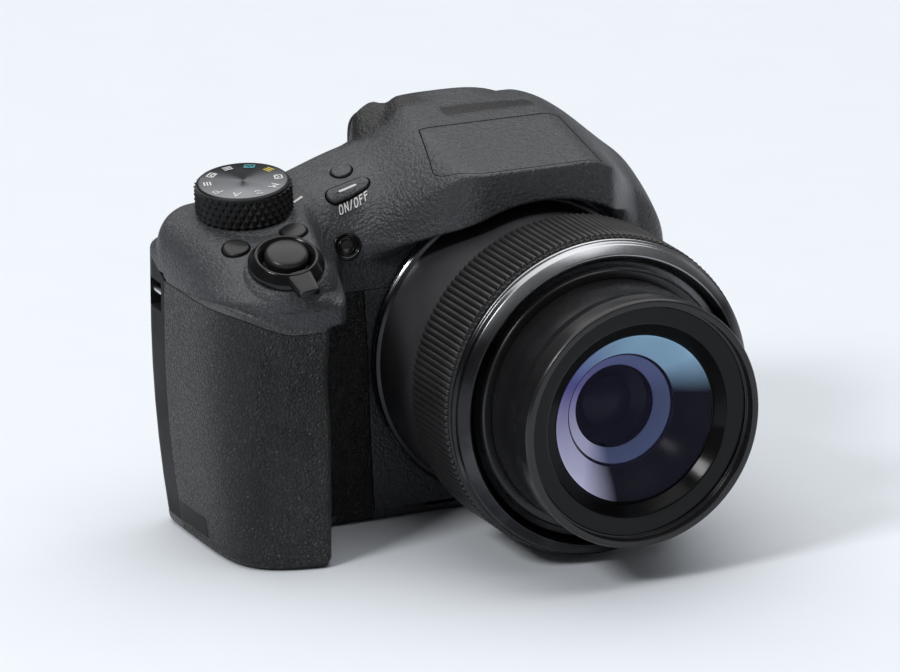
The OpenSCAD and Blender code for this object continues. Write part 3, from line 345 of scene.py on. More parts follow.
    def top_z(self, x, y):
        """Height of the top cover at any points: read along y in the two nearest sections and blended in x."""
        x, y = np.broadcast_arrays(np.asarray(x, float), np.asarray(y, float))
        xs, lines = self.table
        k = np.clip(np.searchsorted(xs, x.ravel()) - 1, 0, len(xs) - 2)
        w = clip((x.ravel() - xs[k]) / (xs[k + 1] - xs[k]))
        a, b = (self.read(lines[i, self.first:self.last + 1], y.ravel()) for i in (k, k + 1))
        return mix(a, b, w).reshape(x.shape)

    def read(self, line, y):
        """Linear reading of one section for each y."""
        k = np.clip((line[..., 0] <= y[:, None]).sum(1) - 1, 0, line.shape[1] - 2)
        i = np.arange(len(y))
        (y0, z0), (y1, z1) = line[i, k].T, line[i, k + 1].T
        return mix(z0, z1, clip((y - y0) / np.maximum(y1 - y0, 1e-9)))

    def front_at(self, x, z):
        """Depth of the cover's front wall at a height."""
        _, line = self.sections(self.u_top(x))
        front = line[0, :self.first + 1]
        return np.interp(z, front[:, 1], front[:, 0])

    def lid_front(self, x, line, gap=0.0):
        """Front edge of the flash lid, or of its well with a gap, with the left corner rounded."""
        r = self.lid_round + gap
        left = self.lid_x0 - gap
        inside = r - np.sqrt(np.maximum(0, r * r - (r - np.clip(x - left, 0, r)) ** 2))
        corner = np.where(x < left, r * clip(1 - (left - x) / 8), inside)
        return line[:, self.first, 0] + 0.5 - gap + corner

    def lid_shift(self, x):
        """How far the lid's left edge has moved in at its rear, fading to both sides."""
        left = clip(1 - (self.lid_x0 - x) / 9)
        right = clip((self.lid_x1 - x) / (self.lid_x1 - self.lid_x0))
        return self.lid_taper * np.where(x < self.lid_x0, left, right)

    def finger_marks(self, p):
        """Depth of the marks of the grip: a valley down its front corner and a step under the first finger."""
        valley_deep, most_deep = 0.9, 1.1
        x, z = p[..., 0], p[..., 2]
        aside = x + 73.4 - 0.035 * (z - 30)
        valley = valley_deep * np.exp(-(aside / 2.4) ** 2) * rise(z, 4, 16) * (1 - rise(z, 46, 56))
        below = 33.4 + 0.27 * (-62.9 - x) - z
        step = rise(below, -0.4, 2.6) * np.exp(-(np.maximum(below, 0) / 11) ** 2) * rise(x, -75, -70)
        step = step * (1 - rise(x, self.grip_in - 5, self.grip_in + 1))
        return np.minimum(valley + step, most_deep) * self.grip_share(x)

    def place(self, x, y, reach):
        """Frame of a control on the top cover: origin on the surface and Z along its normal."""
        z = self.top_z(x + reach * np.array([0, 1, -1, 0, 0]), y + reach * np.array([0, 0, 0, 1, -1]))
        a, b = (z[1] - z[2]) / (2 * reach), (z[3] - z[4]) / (2 * reach)
        turn = -np.arctan(a)
        lean = np.arctan(b * np.cos(turn))
        m = Matrix.Translation((x, y, z[0])) @ Matrix.Rotation(turn, 4, "Y") @ Matrix.Rotation(lean, 4, "X")
        return np.array(m)


# Meshes


def corner_bows(points, reach, share, count):
    """Parabolas in place of the inner corners of lines of points, with their start and end points.

    Each starts and ends at the given reach from its corner, or at a share of the straight run where that is shorter.
    """
    a, c, b = points[..., :-2, :], points[..., 1:-1, :], points[..., 2:, :]
    la, lb = (np.maximum(np.linalg.norm(e - c, axis=-1, keepdims=True), 1e-6) for e in (a, b))
    start = c + (a - c) / la * np.minimum(reach, share * la)
    end = c + (b - c) / lb * np.minimum(reach, share * lb)
    t = ramp(count)[:, None]
    p, q, r = (v[..., None, :] for v in (start, c, end))
    return start, end, (1 - t) ** 2 * p + 2 * t * (1 - t) * q + t * t * r


def quads(n, m, wrap=False):
    """Corner indices of the cells of an n by m grid, closed along its first direction where wrap is set."""
    i = np.arange(n if wrap else n - 1)[:, None]
    j = np.arange(m - 1)[None, :]
    i2, j2 = (i + 1) % n, j + 1
    cells = np.stack(np.broadcast_arrays(i * m + j, i2 * m + j, i2 * m + j2, i * m + j2), -1)
    return cells.reshape(-1, 4)


def mesh(name, points, faces, body, slot, *nodes, finish=None, sharp=0.6, flank=None):
    """Object from points in millimetres and corner indices, riding on a body and standing for CAD nodes."""
    points = np.asarray(points, float).reshape(-1, 3) * MM
    faces = np.asarray(faces, np.int32)
    n, k = faces.shape
    data = bpy.data.meshes.new(name)
    data.vertices.add(len(points))
    data.vertices.foreach_set("co", points.astype(np.float32).ravel())
    data.loops.add(n * k)
    data.loops.foreach_set("vertex_index", faces.ravel())
    data.polygons.add(n)
    data.polygons.foreach_set("loop_start", np.arange(0, n * k, k, dtype=np.int32))
    data.update(calc_edges=True)
    data.validate()
    if flank is not None:
        values = data.attributes.new("flank", "FLOAT", "POINT").data
        values.foreach_set("value", flank.astype(np.float32).ravel())
    data.polygons.foreach_set("use_smooth", np.ones(len(data.polygons), bool))
    data.set_sharp_from_angle(angle=sharp)
    data.materials.append(look(finish or slot))
    obj = bpy.data.objects.new(name, data)
    bpy.context.scene.collection.objects.link(obj)
    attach(obj, body)
    if nodes:
        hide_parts(*nodes)
    return obj


def grid(name, points, *args, flip=False, wrap=False, **kw):
    """Object from a grid of points: the cells face up the side that the two directions turn to."""
    faces = quads(*points.shape[:2], wrap)
    return mesh(name, points, faces[:, ::-1] if flip else faces, *args, **kw)


def lathe(name, points, *args, **kw):
    """Object from a grid that closes round an axis, facing outward."""
    return grid(name, points, *args, flip=True, wrap=True, **kw)


def slab(outer, inner):
    """Points and cells of a solid between two grids of the same size, the cells of its rim last."""
    n, m = outer.shape[:2]
    f = quads(n, m)
    index = np.arange(n * m).reshape(n, m)
    edge = np.concatenate([index[0, :-1], index[:-1, -1], index[-1, :0:-1], index[:0:-1, 0]])
    nxt = np.roll(edge, -1)
    rim = np.stack([edge, nxt, nxt + n * m, edge + n * m], -1)
    points = np.concatenate([outer.reshape(-1, 3), inner.reshape(-1, 3)])
    return points, np.concatenate([f, f[:, ::-1] + n * m, rim])


def circle(n):
    """Angles of n points round a circle, as a column."""
    return np.linspace(0, 2 * np.pi, n, endpoint=False)[:, None]


def stacked(*parts):
    """Points from arrays of x, y and z that broadcast together."""
    return np.stack(np.broadcast_arrays(*parts), -1)


def turned(profile, n, matrix, long=0.0):
    """Grid of a profile of radius and height turned round Z, or round a straight core of half-length long."""
    p = np.asarray(profile, float)
    a = circle(n)
    core = long * np.clip(np.cos(a) * 8, -1, 1)
    return moved(stacked(core + p[:, 0] * np.cos(a), p[:, 0] * np.sin(a), p[:, 1]), matrix)


def moved(points, matrix):
    """Points carried by a 4 by 4 matrix."""
    return points @ matrix[:3, :3].T + matrix[:3, 3]


def soften(profile, r, k=4):
    """Profile with each inner corner rounded by a parabola of length r."""
    p = np.asarray(profile, float)
    _, _, bows = corner_bows(p, r, 0.45, k)
    return np.concatenate([p[:1], bows.reshape(-1, 2), p[-1:]])


# Printed marks

BOW = [(0.5 + 0.45 * np.cos(w), 0.5 + 0.5 * np.sin(w)) for w in np.linspace(0, 2 * np.pi, 17)]
SIGNS = {
    "O": [BOW],
    "N": [[(0, 0), (0, 1), (0.8, 0), (0.8, 1)]],
    "F": [[(0, 0), (0, 1), (0.7, 1)], [(0, 0.52), (0.55, 0.52)]],
    "/": [[(0, 0), (0.55, 1)]],
    "P": [[(0, 0), (0, 1), (0.5, 1), (0.72, 0.86), (0.72, 0.62), (0.5, 0.48), (0, 0.48)]],
    "A": [[(0, 0), (0.4, 1), (0.8, 0)], [(0.14, 0.35), (0.66, 0.35)]],
    "S": [[(0.72, 0.85), (0.5, 1), (0.2, 1), (0.05, 0.8), (0.15, 0.6), (0.6, 0.42), (0.72, 0.22), (0.55, 0),
           (0.2, 0), (0.03, 0.15)]],
    "M": [[(0, 0), (0.06, 1), (0.45, 0.3), (0.84, 1), (0.9, 0)]],
    "frame": [[(-0.1, 0.1), (1, 0.1), (1, 0.9), (-0.1, 0.9), (-0.1, 0.1)], [(0.1, 0.3), (0.45, 0.65), (0.8, 0.3)]],
    "bars": [[(0, 0.15), (0.9, 0.15)], [(0, 0.5), (0.9, 0.5)], [(0, 0.85), (0.9, 0.85)]],
}


def ribbons(lines, width):
    """Flat strokes: each straight step of each line is a rectangle, longer by half its width at both ends."""
    ends = np.concatenate([np.stack([np.array(l[:-1], float), np.array(l[1:], float)], 1) for l in lines])
    a, b = ends[:, 0], ends[:, 1]
    along = (b - a) / np.linalg.norm(b - a, axis=1, keepdims=True) * width / 2
    side = np.stack([-along[:, 1], along[:, 0]], -1)
    points = np.stack([a - along - side, b + along - side, b + along + side, a - along + side], 1)
    return points.reshape(-1, 2), np.arange(len(ends) * 4).reshape(-1, 4)


def word(text, high, gap, narrow=0.85):
    """Lines of a row of signs, high tall, starting at the origin."""
    lines, at = [], 0.0
    for sign in text:
        part = SIGNS[sign]
        lines += [[(at + x * high * narrow, y * high) for x, y in line] for line in part]
        at += (max(x for line in part for x, _ in line) * narrow + gap) * high
    return lines


def spin(flat, degrees):
    """Flat points turned about the origin."""
    c, s = np.cos(np.radians(degrees)), np.sin(np.radians(degrees))
    return flat @ np.array([[c, s], [-s, c]])


# Materials


def look(name):
    """Material of a record slot or of a piece."""
    return bpy.data.materials[name + " look"]


def scaled(base, k):
    """Colour made lighter or darker."""
    return tuple(min(1.0, k * v) for v in base)


class Shade:
    """A node material under construction."""

    def __init__(self, name, base, rough, metal=0.0, spec=0.5):
        self.mat = bpy.data.materials.new(name + " look")
        self.mat.use_nodes = True
        self.tree = self.mat.node_tree
        self.out = self.tree.nodes["Principled BSDF"]
        self.base = base
        self.coords = self.tree.nodes.new("ShaderNodeTexCoord").outputs["Object"]
        self.set("Base Color", (*base, 1))
        self.set("Roughness", rough)
        self.set("Metallic", metal)
        self.set("Specular IOR Level", spec)

    def node(self, kind, **values):
        """New node with its inputs and settings."""
        made = self.tree.nodes.new(kind)
        for key, value in values.items():
            if key in made.inputs:
                self.put(value, made.inputs[key])
            else:
                setattr(made, key, value)
        return made

    def put(self, value, socket):
        """Links a socket to another or gives it a value."""
        if isinstance(value, bpy.types.NodeSocket):
            self.tree.links.new(value, socket)
        else:
            socket.default_value = value

    def set(self, name, value):
        """The same for a socket of the surface."""
        self.put(value, self.out.inputs[name])

    def noise(self, scale, detail=2.0, vector=None, output="Fac"):
        made = self.node("ShaderNodeTexNoise", Scale=scale, Detail=detail, Vector=vector or self.coords)
        return made.outputs[output]

    def cells(self, scale, feature, vector):
        made = self.node("ShaderNodeTexVoronoi", feature=feature, Scale=scale, Vector=vector)
        return made.outputs["Distance"]

    def warped(self, scale, amount, vector=None):
        """Coordinates pushed about by a slow noise."""
        made = self.node("ShaderNodeVectorMath", operation="MULTIPLY_ADD")
        push = self.noise(scale, 2.0, vector, "Color")
        for i, v in enumerate((push, (amount, amount, amount), vector or self.coords)):
            self.put(v, made.inputs[i])
        return made.outputs["Vector"]

    def mapped(self, turn=(0.0, 0.0, 0.0), scale=(1.0, 1.0, 1.0), centre=(0.0, 0.0, 0.0)):
        """Coordinates measured from a centre, turned and stretched."""
        made = self.node("ShaderNodeMapping", vector_type="TEXTURE", Location=centre, Rotation=turn,
                         Scale=tuple(1 / k for k in scale), Vector=self.coords)
        return made.outputs["Vector"]

    def axes(self, vector):
        return self.node("ShaderNodeSeparateXYZ", Vector=vector).outputs

    def round_axis(self, axis_z):
        """Sideways and upward parts of the direction from the lens axis."""
        flat = self.mapped(scale=(1.0, 0.0001, 1.0), centre=(0.0, 0.0, axis_z))
        unit = self.node("ShaderNodeVectorMath", operation="NORMALIZE", Vector=flat)
        x, _, z = self.axes(unit.outputs["Vector"])
        return x, z

    def span(self, value, a, b, c=0.0, d=1.0):
        """Value carried from the range a to b onto the range c to d."""
        made = self.node("ShaderNodeMapRange")
        for i, v in enumerate((value, a, b, c, d)):
            self.put(v, made.inputs[i])
        return made.outputs[0]

    def math(self, op, a, b=0.0):
        made = self.node("ShaderNodeMath", operation=op)
        self.put(a, made.inputs[0])
        self.put(b, made.inputs[1])
        return made.outputs[0]

    def total(self, *terms):
        """Sum of values, each with its weight."""
        out, *rest = [self.math("MULTIPLY", value, weight) for value, weight in terms]
        for part in rest:
            out = self.math("ADD", out, part)
        return out

    def blend(self, w, a, b):
        """Colour between two colours."""
        made = self.node("ShaderNodeMix", data_type="RGBA", Factor=w)
        for i, v in ((6, a), (7, b)):
            self.put((*v, 1) if isinstance(v, tuple) else v, made.inputs[i])
        return made.outputs[2]

    def levels(self, value, low, high):
        """Base colour between two levels of itself, by a value from 0 to 1."""
        return self.blend(value, scaled(self.base, low), scaled(self.base, high))

    def bump(self, height, strength, distance):
        made = self.node("ShaderNodeBump", Strength=strength, Distance=distance, Height=height)
        self.set("Normal", made.outputs["Normal"])


def pebbled(name, base, rough):
    """Moulded plastic: crinkled half-millimetre pebbles with scattered bright flecks, darker on a flank; the flecks
    are painted glints in the colour, and are also smoother and raised.
    """
    m = Shade(name, base, rough)
    vector = m.warped(700.0, 0.0006)
    pebble = m.cells(1350.0, "F1", vector)
    patch = m.span(m.noise(130.0), 0.4, 0.62)
    fleck_and_painted_glint = m.math("MULTIPLY", m.span(m.noise(2300.0, 2.0, vector), 0.6, 0.72), patch)
    tone = m.levels(m.total((m.noise(900.0, 3.0), 0.6), (fleck_and_painted_glint, 0.5)), 0.4, 2.4)
    # painted glints: where the flecks are, the colour rises towards five and a half times the base
    tone = m.blend(m.math("MULTIPLY", fleck_and_painted_glint, 0.55), tone, scaled(base, 5.5))
    side = m.node("ShaderNodeAttribute", attribute_name="flank").outputs["Fac"]
    m.set("Base Color", m.blend(side, tone, scaled(base, 0.22)))
    m.set("Roughness", m.span(fleck_and_painted_glint, 0.0, 1.0, rough + 0.04, rough - 0.1))
    m.bump(m.total((pebble, -0.9), (m.noise(2600.0), 0.5), (fleck_and_painted_glint, 0.5)), 0.8, 0.00022)


def grained(name, base, rough):
    """Leather-grain rubber: creased cells under a millimetre wide with finer wrinkles between, the colour darkened
    into the creases as painted shade.
    """
    m = Shade(name, base, rough, spec=0.6)
    vector = m.warped(260.0, 0.0016, m.mapped((0.5, 0.35, 0.0), (1.0, 1.0, 0.62)))
    crease_and_painted_shade, wrinkle = (m.span(m.cells(scale, "DISTANCE_TO_EDGE", vector), 0.0, wide)
                       for scale, wide in ((1250.0, 0.22), (2300.0, 0.25)))
    patch = m.span(m.noise(300.0, 3.0), 0.3, 0.7, 0.55, 1.0)
    # painted shade: the colour falls to under half of the base in the creases
    m.set("Base Color", m.levels(m.math("MULTIPLY", crease_and_painted_shade, patch), 0.45, 1.5))
    m.set("Roughness", m.span(crease_and_painted_shade, 0.0, 1.0, rough + 0.2, rough))
    height = m.total((crease_and_painted_shade, 0.8), (wrinkle, 0.4), (m.noise(500.0, 3.0), 0.7), (m.noise(5000.0), 0.12))
    m.bump(height, 1.0, 0.0006)


def plain(name, base, rough, metal=0.0, spec=0.5, low=0.8, high=1.2, grain=0.0):
    """Smooth finish with a slow change of tone and roughness and, where asked for, a fine grain."""
    m = Shade(name, base, rough, metal, spec)
    slow, spread = m.noise(80.0, 3.0), 0.06
    m.set("Base Color", m.levels(slow, low, high))
    m.set("Roughness", m.span(slow, 0.3, 0.7, max(0.0, rough - spread), min(1.0, rough + spread)))
    if grain:
        m.bump(m.noise(3000.0), grain, 0.0001)


def spun(name, base, rough, centre):
    """Metal faced on a lathe: fine rings round an axis through centre, with highlights drawn out across them."""
    m = Shade(name, base, rough, 1.0)
    radius = m.node("ShaderNodeVectorMath", operation="LENGTH", Vector=m.mapped(centre=centre)).outputs["Value"]
    wave = m.node("ShaderNodeTexNoise", noise_dimensions="1D", Scale=9000.0, Detail=3.0, W=radius)
    m.set("Base Color", m.levels(wave.outputs["Fac"], 0.6, 1.4))
    m.set("Anisotropic", 0.9)
    m.set("Tangent", m.node("ShaderNodeTangent", direction_type="RADIAL", axis="Z").outputs["Tangent"])


def coated(name, base, rough, alpha, tint):
    """Front glass: mostly clear, with a coloured reflection."""
    m = Shade(name, base, rough, 0.0, 0.3)
    m.set("Base Color", m.levels(m.noise(30.0), 0.8, 1.2))
    m.set("Alpha", alpha)
    m.set("Specular Tint", (*tint, 1))
    m.set("IOR", 1.9)


def coat_painted_reflection(name, deep, blue, violet, dark, axis_z, rough=0.22):
    """Inner glass with painted reflections in its colour: blue to the upper right and violet to the lower left, with
    painted shade, dark, to the lower right.

    A weak glow of the same colours is painted light, standing for the light scattered between the elements.
    """
    m = Shade(name, deep, rough, 0.0, 0.04)
    x, z = m.round_axis(axis_z)
    veil = m.span(m.noise(60.0), 0.2, 0.8, 0.8, 1.0)
    tone = deep
    # painted reflections: blue up and right, violet down and left; painted shade: dark down and right
    for right, up, start, end, hue in ((0.57, 0.82, -0.1, 0.85, blue), (-0.55, -0.83, 0.0, 0.9, violet),
                                       (0.7, -0.71, 0.05, 0.55, dark)):
        share = m.span(m.total((x, right), (z, up)), start, end)
        tone = m.blend(share if hue is dark else m.math("MULTIPLY", share, veil), tone, hue)
    m.set("Base Color", tone)
    # painted light: the glass glows in the same colours though it is no lamp
    m.set("Emission Color", tone)
    m.set("Emission Strength", 0.34)


def chrome_painted_top_highlight(name, base, bright, rough, axis_z):
    """Polished metal, dark round the sides, with a painted highlight that clears the colour to bright along the top
    of a ring on the lens axis.
    """
    m = Shade(name, base, rough, 1.0)
    _, up = m.round_axis(axis_z)
    uneven = m.span(m.noise(90.0, 3.0), 0.3, 0.7, -0.05, 0.05)
    # painted highlight: the colour clears to the bright trim colour towards the top of the ring
    share = m.math("ADD", m.span(up, 0.5, 1.0, 0.0, 0.75), uneven)
    m.set("Base Color", m.blend(share, base, bright))


def meshed(name, base, pitch):
    """Woven grille: two crossed sets of wires with dark holes between them."""
    m = Shade(name, base, 0.4)
    x, y, _ = m.axes(m.mapped((0.0, 0.0, 0.78)))
    wires = [m.math("ABSOLUTE", m.math("SINE", m.math("MULTIPLY", v, np.pi / pitch))) for v in (x, y)]
    hole = m.span(m.math("MINIMUM", *wires), 0.25, 0.6)
    m.set("Base Color", m.blend(hole, scaled(base, 6), (0.001, 0.001, 0.001)))
    m.bump(hole, 1.0, -0.0002)


def finishes(scene):
    """Makes all materials once, named by record slot or by piece."""
    if "cover_plastic look" in bpy.data.materials:
        return
    c = scene.camera_colours
    blue, violet, barrel, bright = (tuple(v) for v in (c.glass_blue_reflection, c.glass_violet_reflection, c.barrel, c.bright))
    axis = scene.camera_sizes.lens_z * MM
    pebbled("cover_plastic", tuple(c.cover), 0.4)
    grained("grip_leather", tuple(c.leather), 0.36)
    plain("inner_shell", (0.008, 0.008, 0.009), 0.6)
    plain("soft_rubber", (0.008, 0.008, 0.0085), 0.62, grain=0.3, spec=0.3)
    plain("lens_black", barrel, 0.38, grain=0.15, spec=0.4)
    plain("barrel_satin", barrel, 0.26, grain=0.05)
    plain("barrel_grey", scaled(barrel, 4.0), 0.4, grain=0.1)
    plain("ring_rubber", tuple(c.ring), 0.42, grain=0.1, spec=0.45)
    plain("bright_trim", bright, 0.2, 1.0, low=0.9, high=1.05)
    chrome_painted_top_highlight("dark_chrome_painted_highlight", tuple(c.chrome), bright, 0.26, axis)
    plain("name_gloss", (0.003, 0.003, 0.0033), 0.14, spec=0.22)
    coated("lens_glass", (0.01, 0.01, 0.02), 0.02, 0.16, (0.7, 0.65, 1.0))
    coat_painted_reflection("bowl_coat", (0.12, 0.10, 0.40), blue, violet, (0.003, 0.003, 0.006), axis)
    coat_painted_reflection("core_coat", (0.20, 0.17, 0.48), (0.14, 0.18, 0.36), violet, (0.10, 0.13, 0.26), axis, 0.3)
    plain("pupil_glass", (0.014, 0.013, 0.040), 0.14, spec=0.1)
    plain("sensor", (0.01, 0.02, 0.03), 0.15)
    plain("light_alloy", (0.55, 0.56, 0.57), 0.35, 1.0)
    plain("circuit_board", (0.01, 0.06, 0.03), 0.45)
    plain("steel", (0.62, 0.63, 0.65), 0.25, 1.0)
    plain("battery_case", (0.015, 0.017, 0.02), 0.5)
    plain("latch_plastic", (0.014, 0.014, 0.015), 0.5)
    plain("dial_black", (0.008, 0.008, 0.0085), 0.4, spec=0.4)
    plain("gloss_black", (0.004, 0.004, 0.0045), 0.2, spec=0.35)
    plain("key_satin", (0.014, 0.014, 0.015), 0.34, spec=0.4)
    plain("lamp_lens", (0.02, 0.02, 0.022), 0.1)
    meshed("mic_mesh", (0.006, 0.006, 0.0065), 0.00075)
    plain("screen_case", (0.010, 0.010, 0.0108), 0.42, grain=0.15)
    plain("dark_glass", (0.004, 0.0045, 0.006), 0.06)
    spun("dial_metal", tuple(c.dial), 0.3, (-0.0636, 0.0004, 0.084))
    plain("rear_shell", (0.014, 0.014, 0.015), 0.6, grain=0.12, spec=0.15)
    # painted shade for gaps and seams
    plain("gap_painted_shade", (0.002, 0.002, 0.002), 0.8, spec=0.1)
    plain("print_white", (0.75, 0.75, 0.74), 0.5, low=0.95, high=1.02)
    plain("print_teal", (0.06, 0.32, 0.36), 0.5)
    plain("print_yellow", (0.75, 0.6, 0.08), 0.5)


# Operators


class Step:
    """A build step, run with the finishes ready."""

    def execute(self, context):
        finishes(context.scene)
        self.build(context.scene)
        return {"FINISHED"}


class CAMERA_OT_top_housing(Step, bpy.types.Operator):
    """Top cover with the finder hump and visor, flash lid, pedestals and microphone grille"""

    bl_idname = "camera.top_housing"
    bl_label = "Top housing"

    def build(self, scene):
        form = Form(scene.camera_sizes)
        for piece in (self.cover, self.lid, self.feet, self.grille):
            piece(form)

    def cover(self, form):
        """Skin of the cover: rounded sections along x, with the flash well sunk inside the lid's outline."""
        gap, front_gap, rear_gap, wall = 0.2, 0.25, 0.16, 0.03
        least_deep, most_deep, over_arch, turn_in = 3, 14, 2.2, 1.5
        left, right = form.lid_x0 - gap, form.lid_x1 + gap
        near = left + np.array([0, wall, 0.15, 0.35, 0.7, 1.2, 1.8, 2.5])
        u = np.concatenate([form.spread(190), form.u_top(np.concatenate([near, [right - wall, right]]))])
        x, line = form.sections(np.unique(u))
        front = form.lid_front(x, line, gap)[:, None] - front_gap
        stop = line[:, form.last, :1]
        rear = np.maximum(form.lid_rear, mix(front, stop, 0.2))
        edge = rear + np.minimum(rear_gap, 0.2 * (stop - rear))
        rows = mix(front + 0.1, rear - 0.1, ramp(64))
        lid = np.concatenate([front, front + wall, rows, edge - wall], 1)
        y = np.concatenate([lid, mix(edge, stop, ramp(42)[:-1])], 1)
        share = np.minimum(clip((y - front) / (rear - front)), clip((stop - y) / (stop - edge)))
        xx = x[:, None] + form.lid_shift(x)[:, None] * share
        z = form.top_z(xx, y)
        floor = np.sqrt(np.maximum((form.arch_r + over_arch) ** 2 - xx * xx, 0)) + form.s.lens_z
        well = np.zeros_like(y, bool)
        well[:, 1:lid.shape[1]] = ((x > left + 0.5 * wall) & (x < right - 0.5 * wall))[:, None]
        z = np.where(well, np.minimum(z - least_deep, np.maximum(floor, z - most_deep)), z)
        flat = np.broadcast_to(x[:, None, None], (*line.shape[:2], 1))
        skin = np.concatenate([flat, line], -1)
        points = np.concatenate([skin[:, :form.first + 1], stacked(xx, y, z), skin[:, form.last:]], 1)
        rim = points[:, [0, -1]] + np.array([[0, turn_in, 0], [0, -turn_in, 0]])
        points = np.concatenate([rim[:, :1], points, rim[:, 1:]], 1)
        h, px, py = form.s.hump_x, points[..., 0], points[..., 1]
        flank = rise(px, h - 31, h - 26) * (1 - rise(px, h - 11, h - 2)) * rise(py, 9.5, 13.5)
        grid("top_cover_skin", points, "body", "cover_plastic", "top_cover", sharp=0.7, flank=flank)

    def lid(self, form):
        """Flash lid: the piece of the top surface inside its outline, with a thickness and a rolled edge."""
        thick, roll, roll_wide, undercut = 1.7, 0.12, 0.2, 0.5
        near = form.lid_x0 + np.array([0.1, 0.25, 0.5, 0.9, 1.4, 2.0])
        x = np.unique(np.concatenate([np.linspace(form.lid_x0, form.lid_x1, 110), near]))
        _, line = form.sections(form.u_top(x))
        front = form.lid_front(x, line)[:, None]
        t = ramp(90)
        y = mix(front, form.lid_rear, t)
        xx = x[:, None] + form.lid_shift(x)[:, None] * t
        ex = np.minimum(x - x[0], x[-1] - x)[:, None]
        ey = np.minimum(y - front, form.lid_rear - y)
        z = form.top_z(xx, y) - roll * (np.exp(-ex / roll_wide) + np.exp(-ey / roll_wide)).clip(0, 1.2)
        outer = stacked(xx, y, z)
        inner = outer - [0, 0, thick]
        inner[:, 0, 1] += undercut
        data = mesh("flash_lid_skin", *slab(outer, inner), "flash", "cover_plastic", "flash_lid").data
        # painted shade: the lid's edge faces, seen in the seam, are near black
        data.materials.append(look("gap_painted_shade"))
        count, rim = len(data.polygons), 2 * (sum(outer.shape[:2]) - 2)
        data.polygons.foreach_set("material_index", (np.arange(count) >= count - rim).astype(np.int32))

    def feet(self, form):
        """Round pedestals of the dial and of the shutter, turned on their own axes and faired into the cover."""
        soft, n = 0.4, 128
        r, m = form.s.dial_r, form.place(*form.dial_at)
        foot = [(2.9, 0.7), (r - 0.3, 0.7), (r + 0.2, 0.55), (r + 0.9, 0.15), (r + 2.0, -0.5), (r + 4, -2)]
        lathe("dial_foot", turned(soften(foot, soft), n, m), "body", "cover_plastic")
        r, m = form.s.lever_r, form.place(*form.shutter_at)
        foot = [(6.2, 0.3), (r + 0.1, 0.3), (r + 0.5, 0.2), (r + 1.1, -0.4), (r + 2.0, -1.6), (r + 3, -3.4)]
        lathe("lever_foot", turned(soften(foot, soft), n, m), "body", "cover_plastic")
        collar = [(5.35, 0.4), (5.35, 2.0), (5.5, 2.2), (6.1, 2.2), (6.2, 2.0), (6.2, 0.2)]
        # painted shade: the collar between the lever and the button is near black
        lathe("lever_collar", turned(collar, 96, m), "body", "gloss_black", finish="gap_painted_shade")

    def grille(self, form):
        """Microphone grille: a four-sided patch of the top surface with bowed ends and a groove along its border."""
        lift, groove, groove_in, groove_wide = 0.08, 0.5, 0.25, 0.16
        s, t = ramp(90)[:, None], ramp(34)[None, :]
        bow = 0.12 * (np.abs(2 * t - 1) ** 3)
        s2 = s * (1 - bow) + bow * 0.5
        x = form.s.hump_x + mix(mix(-6.2, 18.0, s2), mix(-6.9, 16.8, s2), t)
        y = mix(mix(3.0, 4.4, s2), mix(8.6, 8.4, s2), t)
        edge = np.minimum(np.minimum(s, 1 - s) * 24, np.minimum(t, 1 - t) * 5)
        z = form.top_z(x, y) + lift - groove * np.exp(-((edge - groove_in) / groove_wide) ** 2)
        grid("mic_grille_patch", stacked(x, y, z), "body", "mic_mesh", "mic_grille")


class CAMERA_OT_grip(Step, bpy.types.Operator):
    """Leather-grain rubber of the grip and of the front panel, and the front cover beside it"""

    bl_idname = "camera.grip"
    bl_label = "Grip and front"

    def build(self, scene):
        form = Form(scene.camera_sizes)
        u0, u1, u2, u3 = (form.u_of_x(x) for x in (form.wall_x, form.wall_x + 0.1, form.pad_x - 0.3, form.pad_x))
        self.patch(form, "grip_rubber", -1.0, u0, 260, "grip_leather")
        self.patch(form, "front_pad", u1, u2, 40, "grip_leather")
        self.patch(form, "front_cover", u3, 1.0, 150, "cover_plastic")

    def patch(self, form, node, u0, u1, n, slot):
        """Wall patch: u runs round the front, v up from the foot round to the seam, with its top edge turned in."""
        r = form.s.foot_round
        u = np.sin(np.linspace(np.arcsin(u0), np.arcsin(u1), n))[:, None]
        v = ramp(150)[None, :]
        main = form.plan_point(u, v, -1)
        main = form.plan_point(u, v, -1, form.finger_marks(main))
        low = main[:, :1] * [1, 1, 0]
        angles = np.linspace(0.12, 1, 7)[:-1] * np.pi / 2
        foot = [form.plan_point(u, 0 * v[:, :1], -1, r * (1 - np.sin(w))) for w in angles]
        for p, w in zip(foot, angles):
            p[..., 2] = r * (1 - np.cos(w))
        main[..., 2] = np.maximum(main[..., 2], r + 0.02)
        main[:, -1, 2] -= 0.12
        tops = [form.plan_point(u, 0 * v[:, :1] + 1, -1, inset) - [0, 0, drop]
                for inset, drop in ((0.25, 0.02), (1.2, 0))]
        points = np.concatenate([*foot, low + [0, 0, r], main, *tops], 1)
        grid(node + "_skin", points, "body", slot, node)


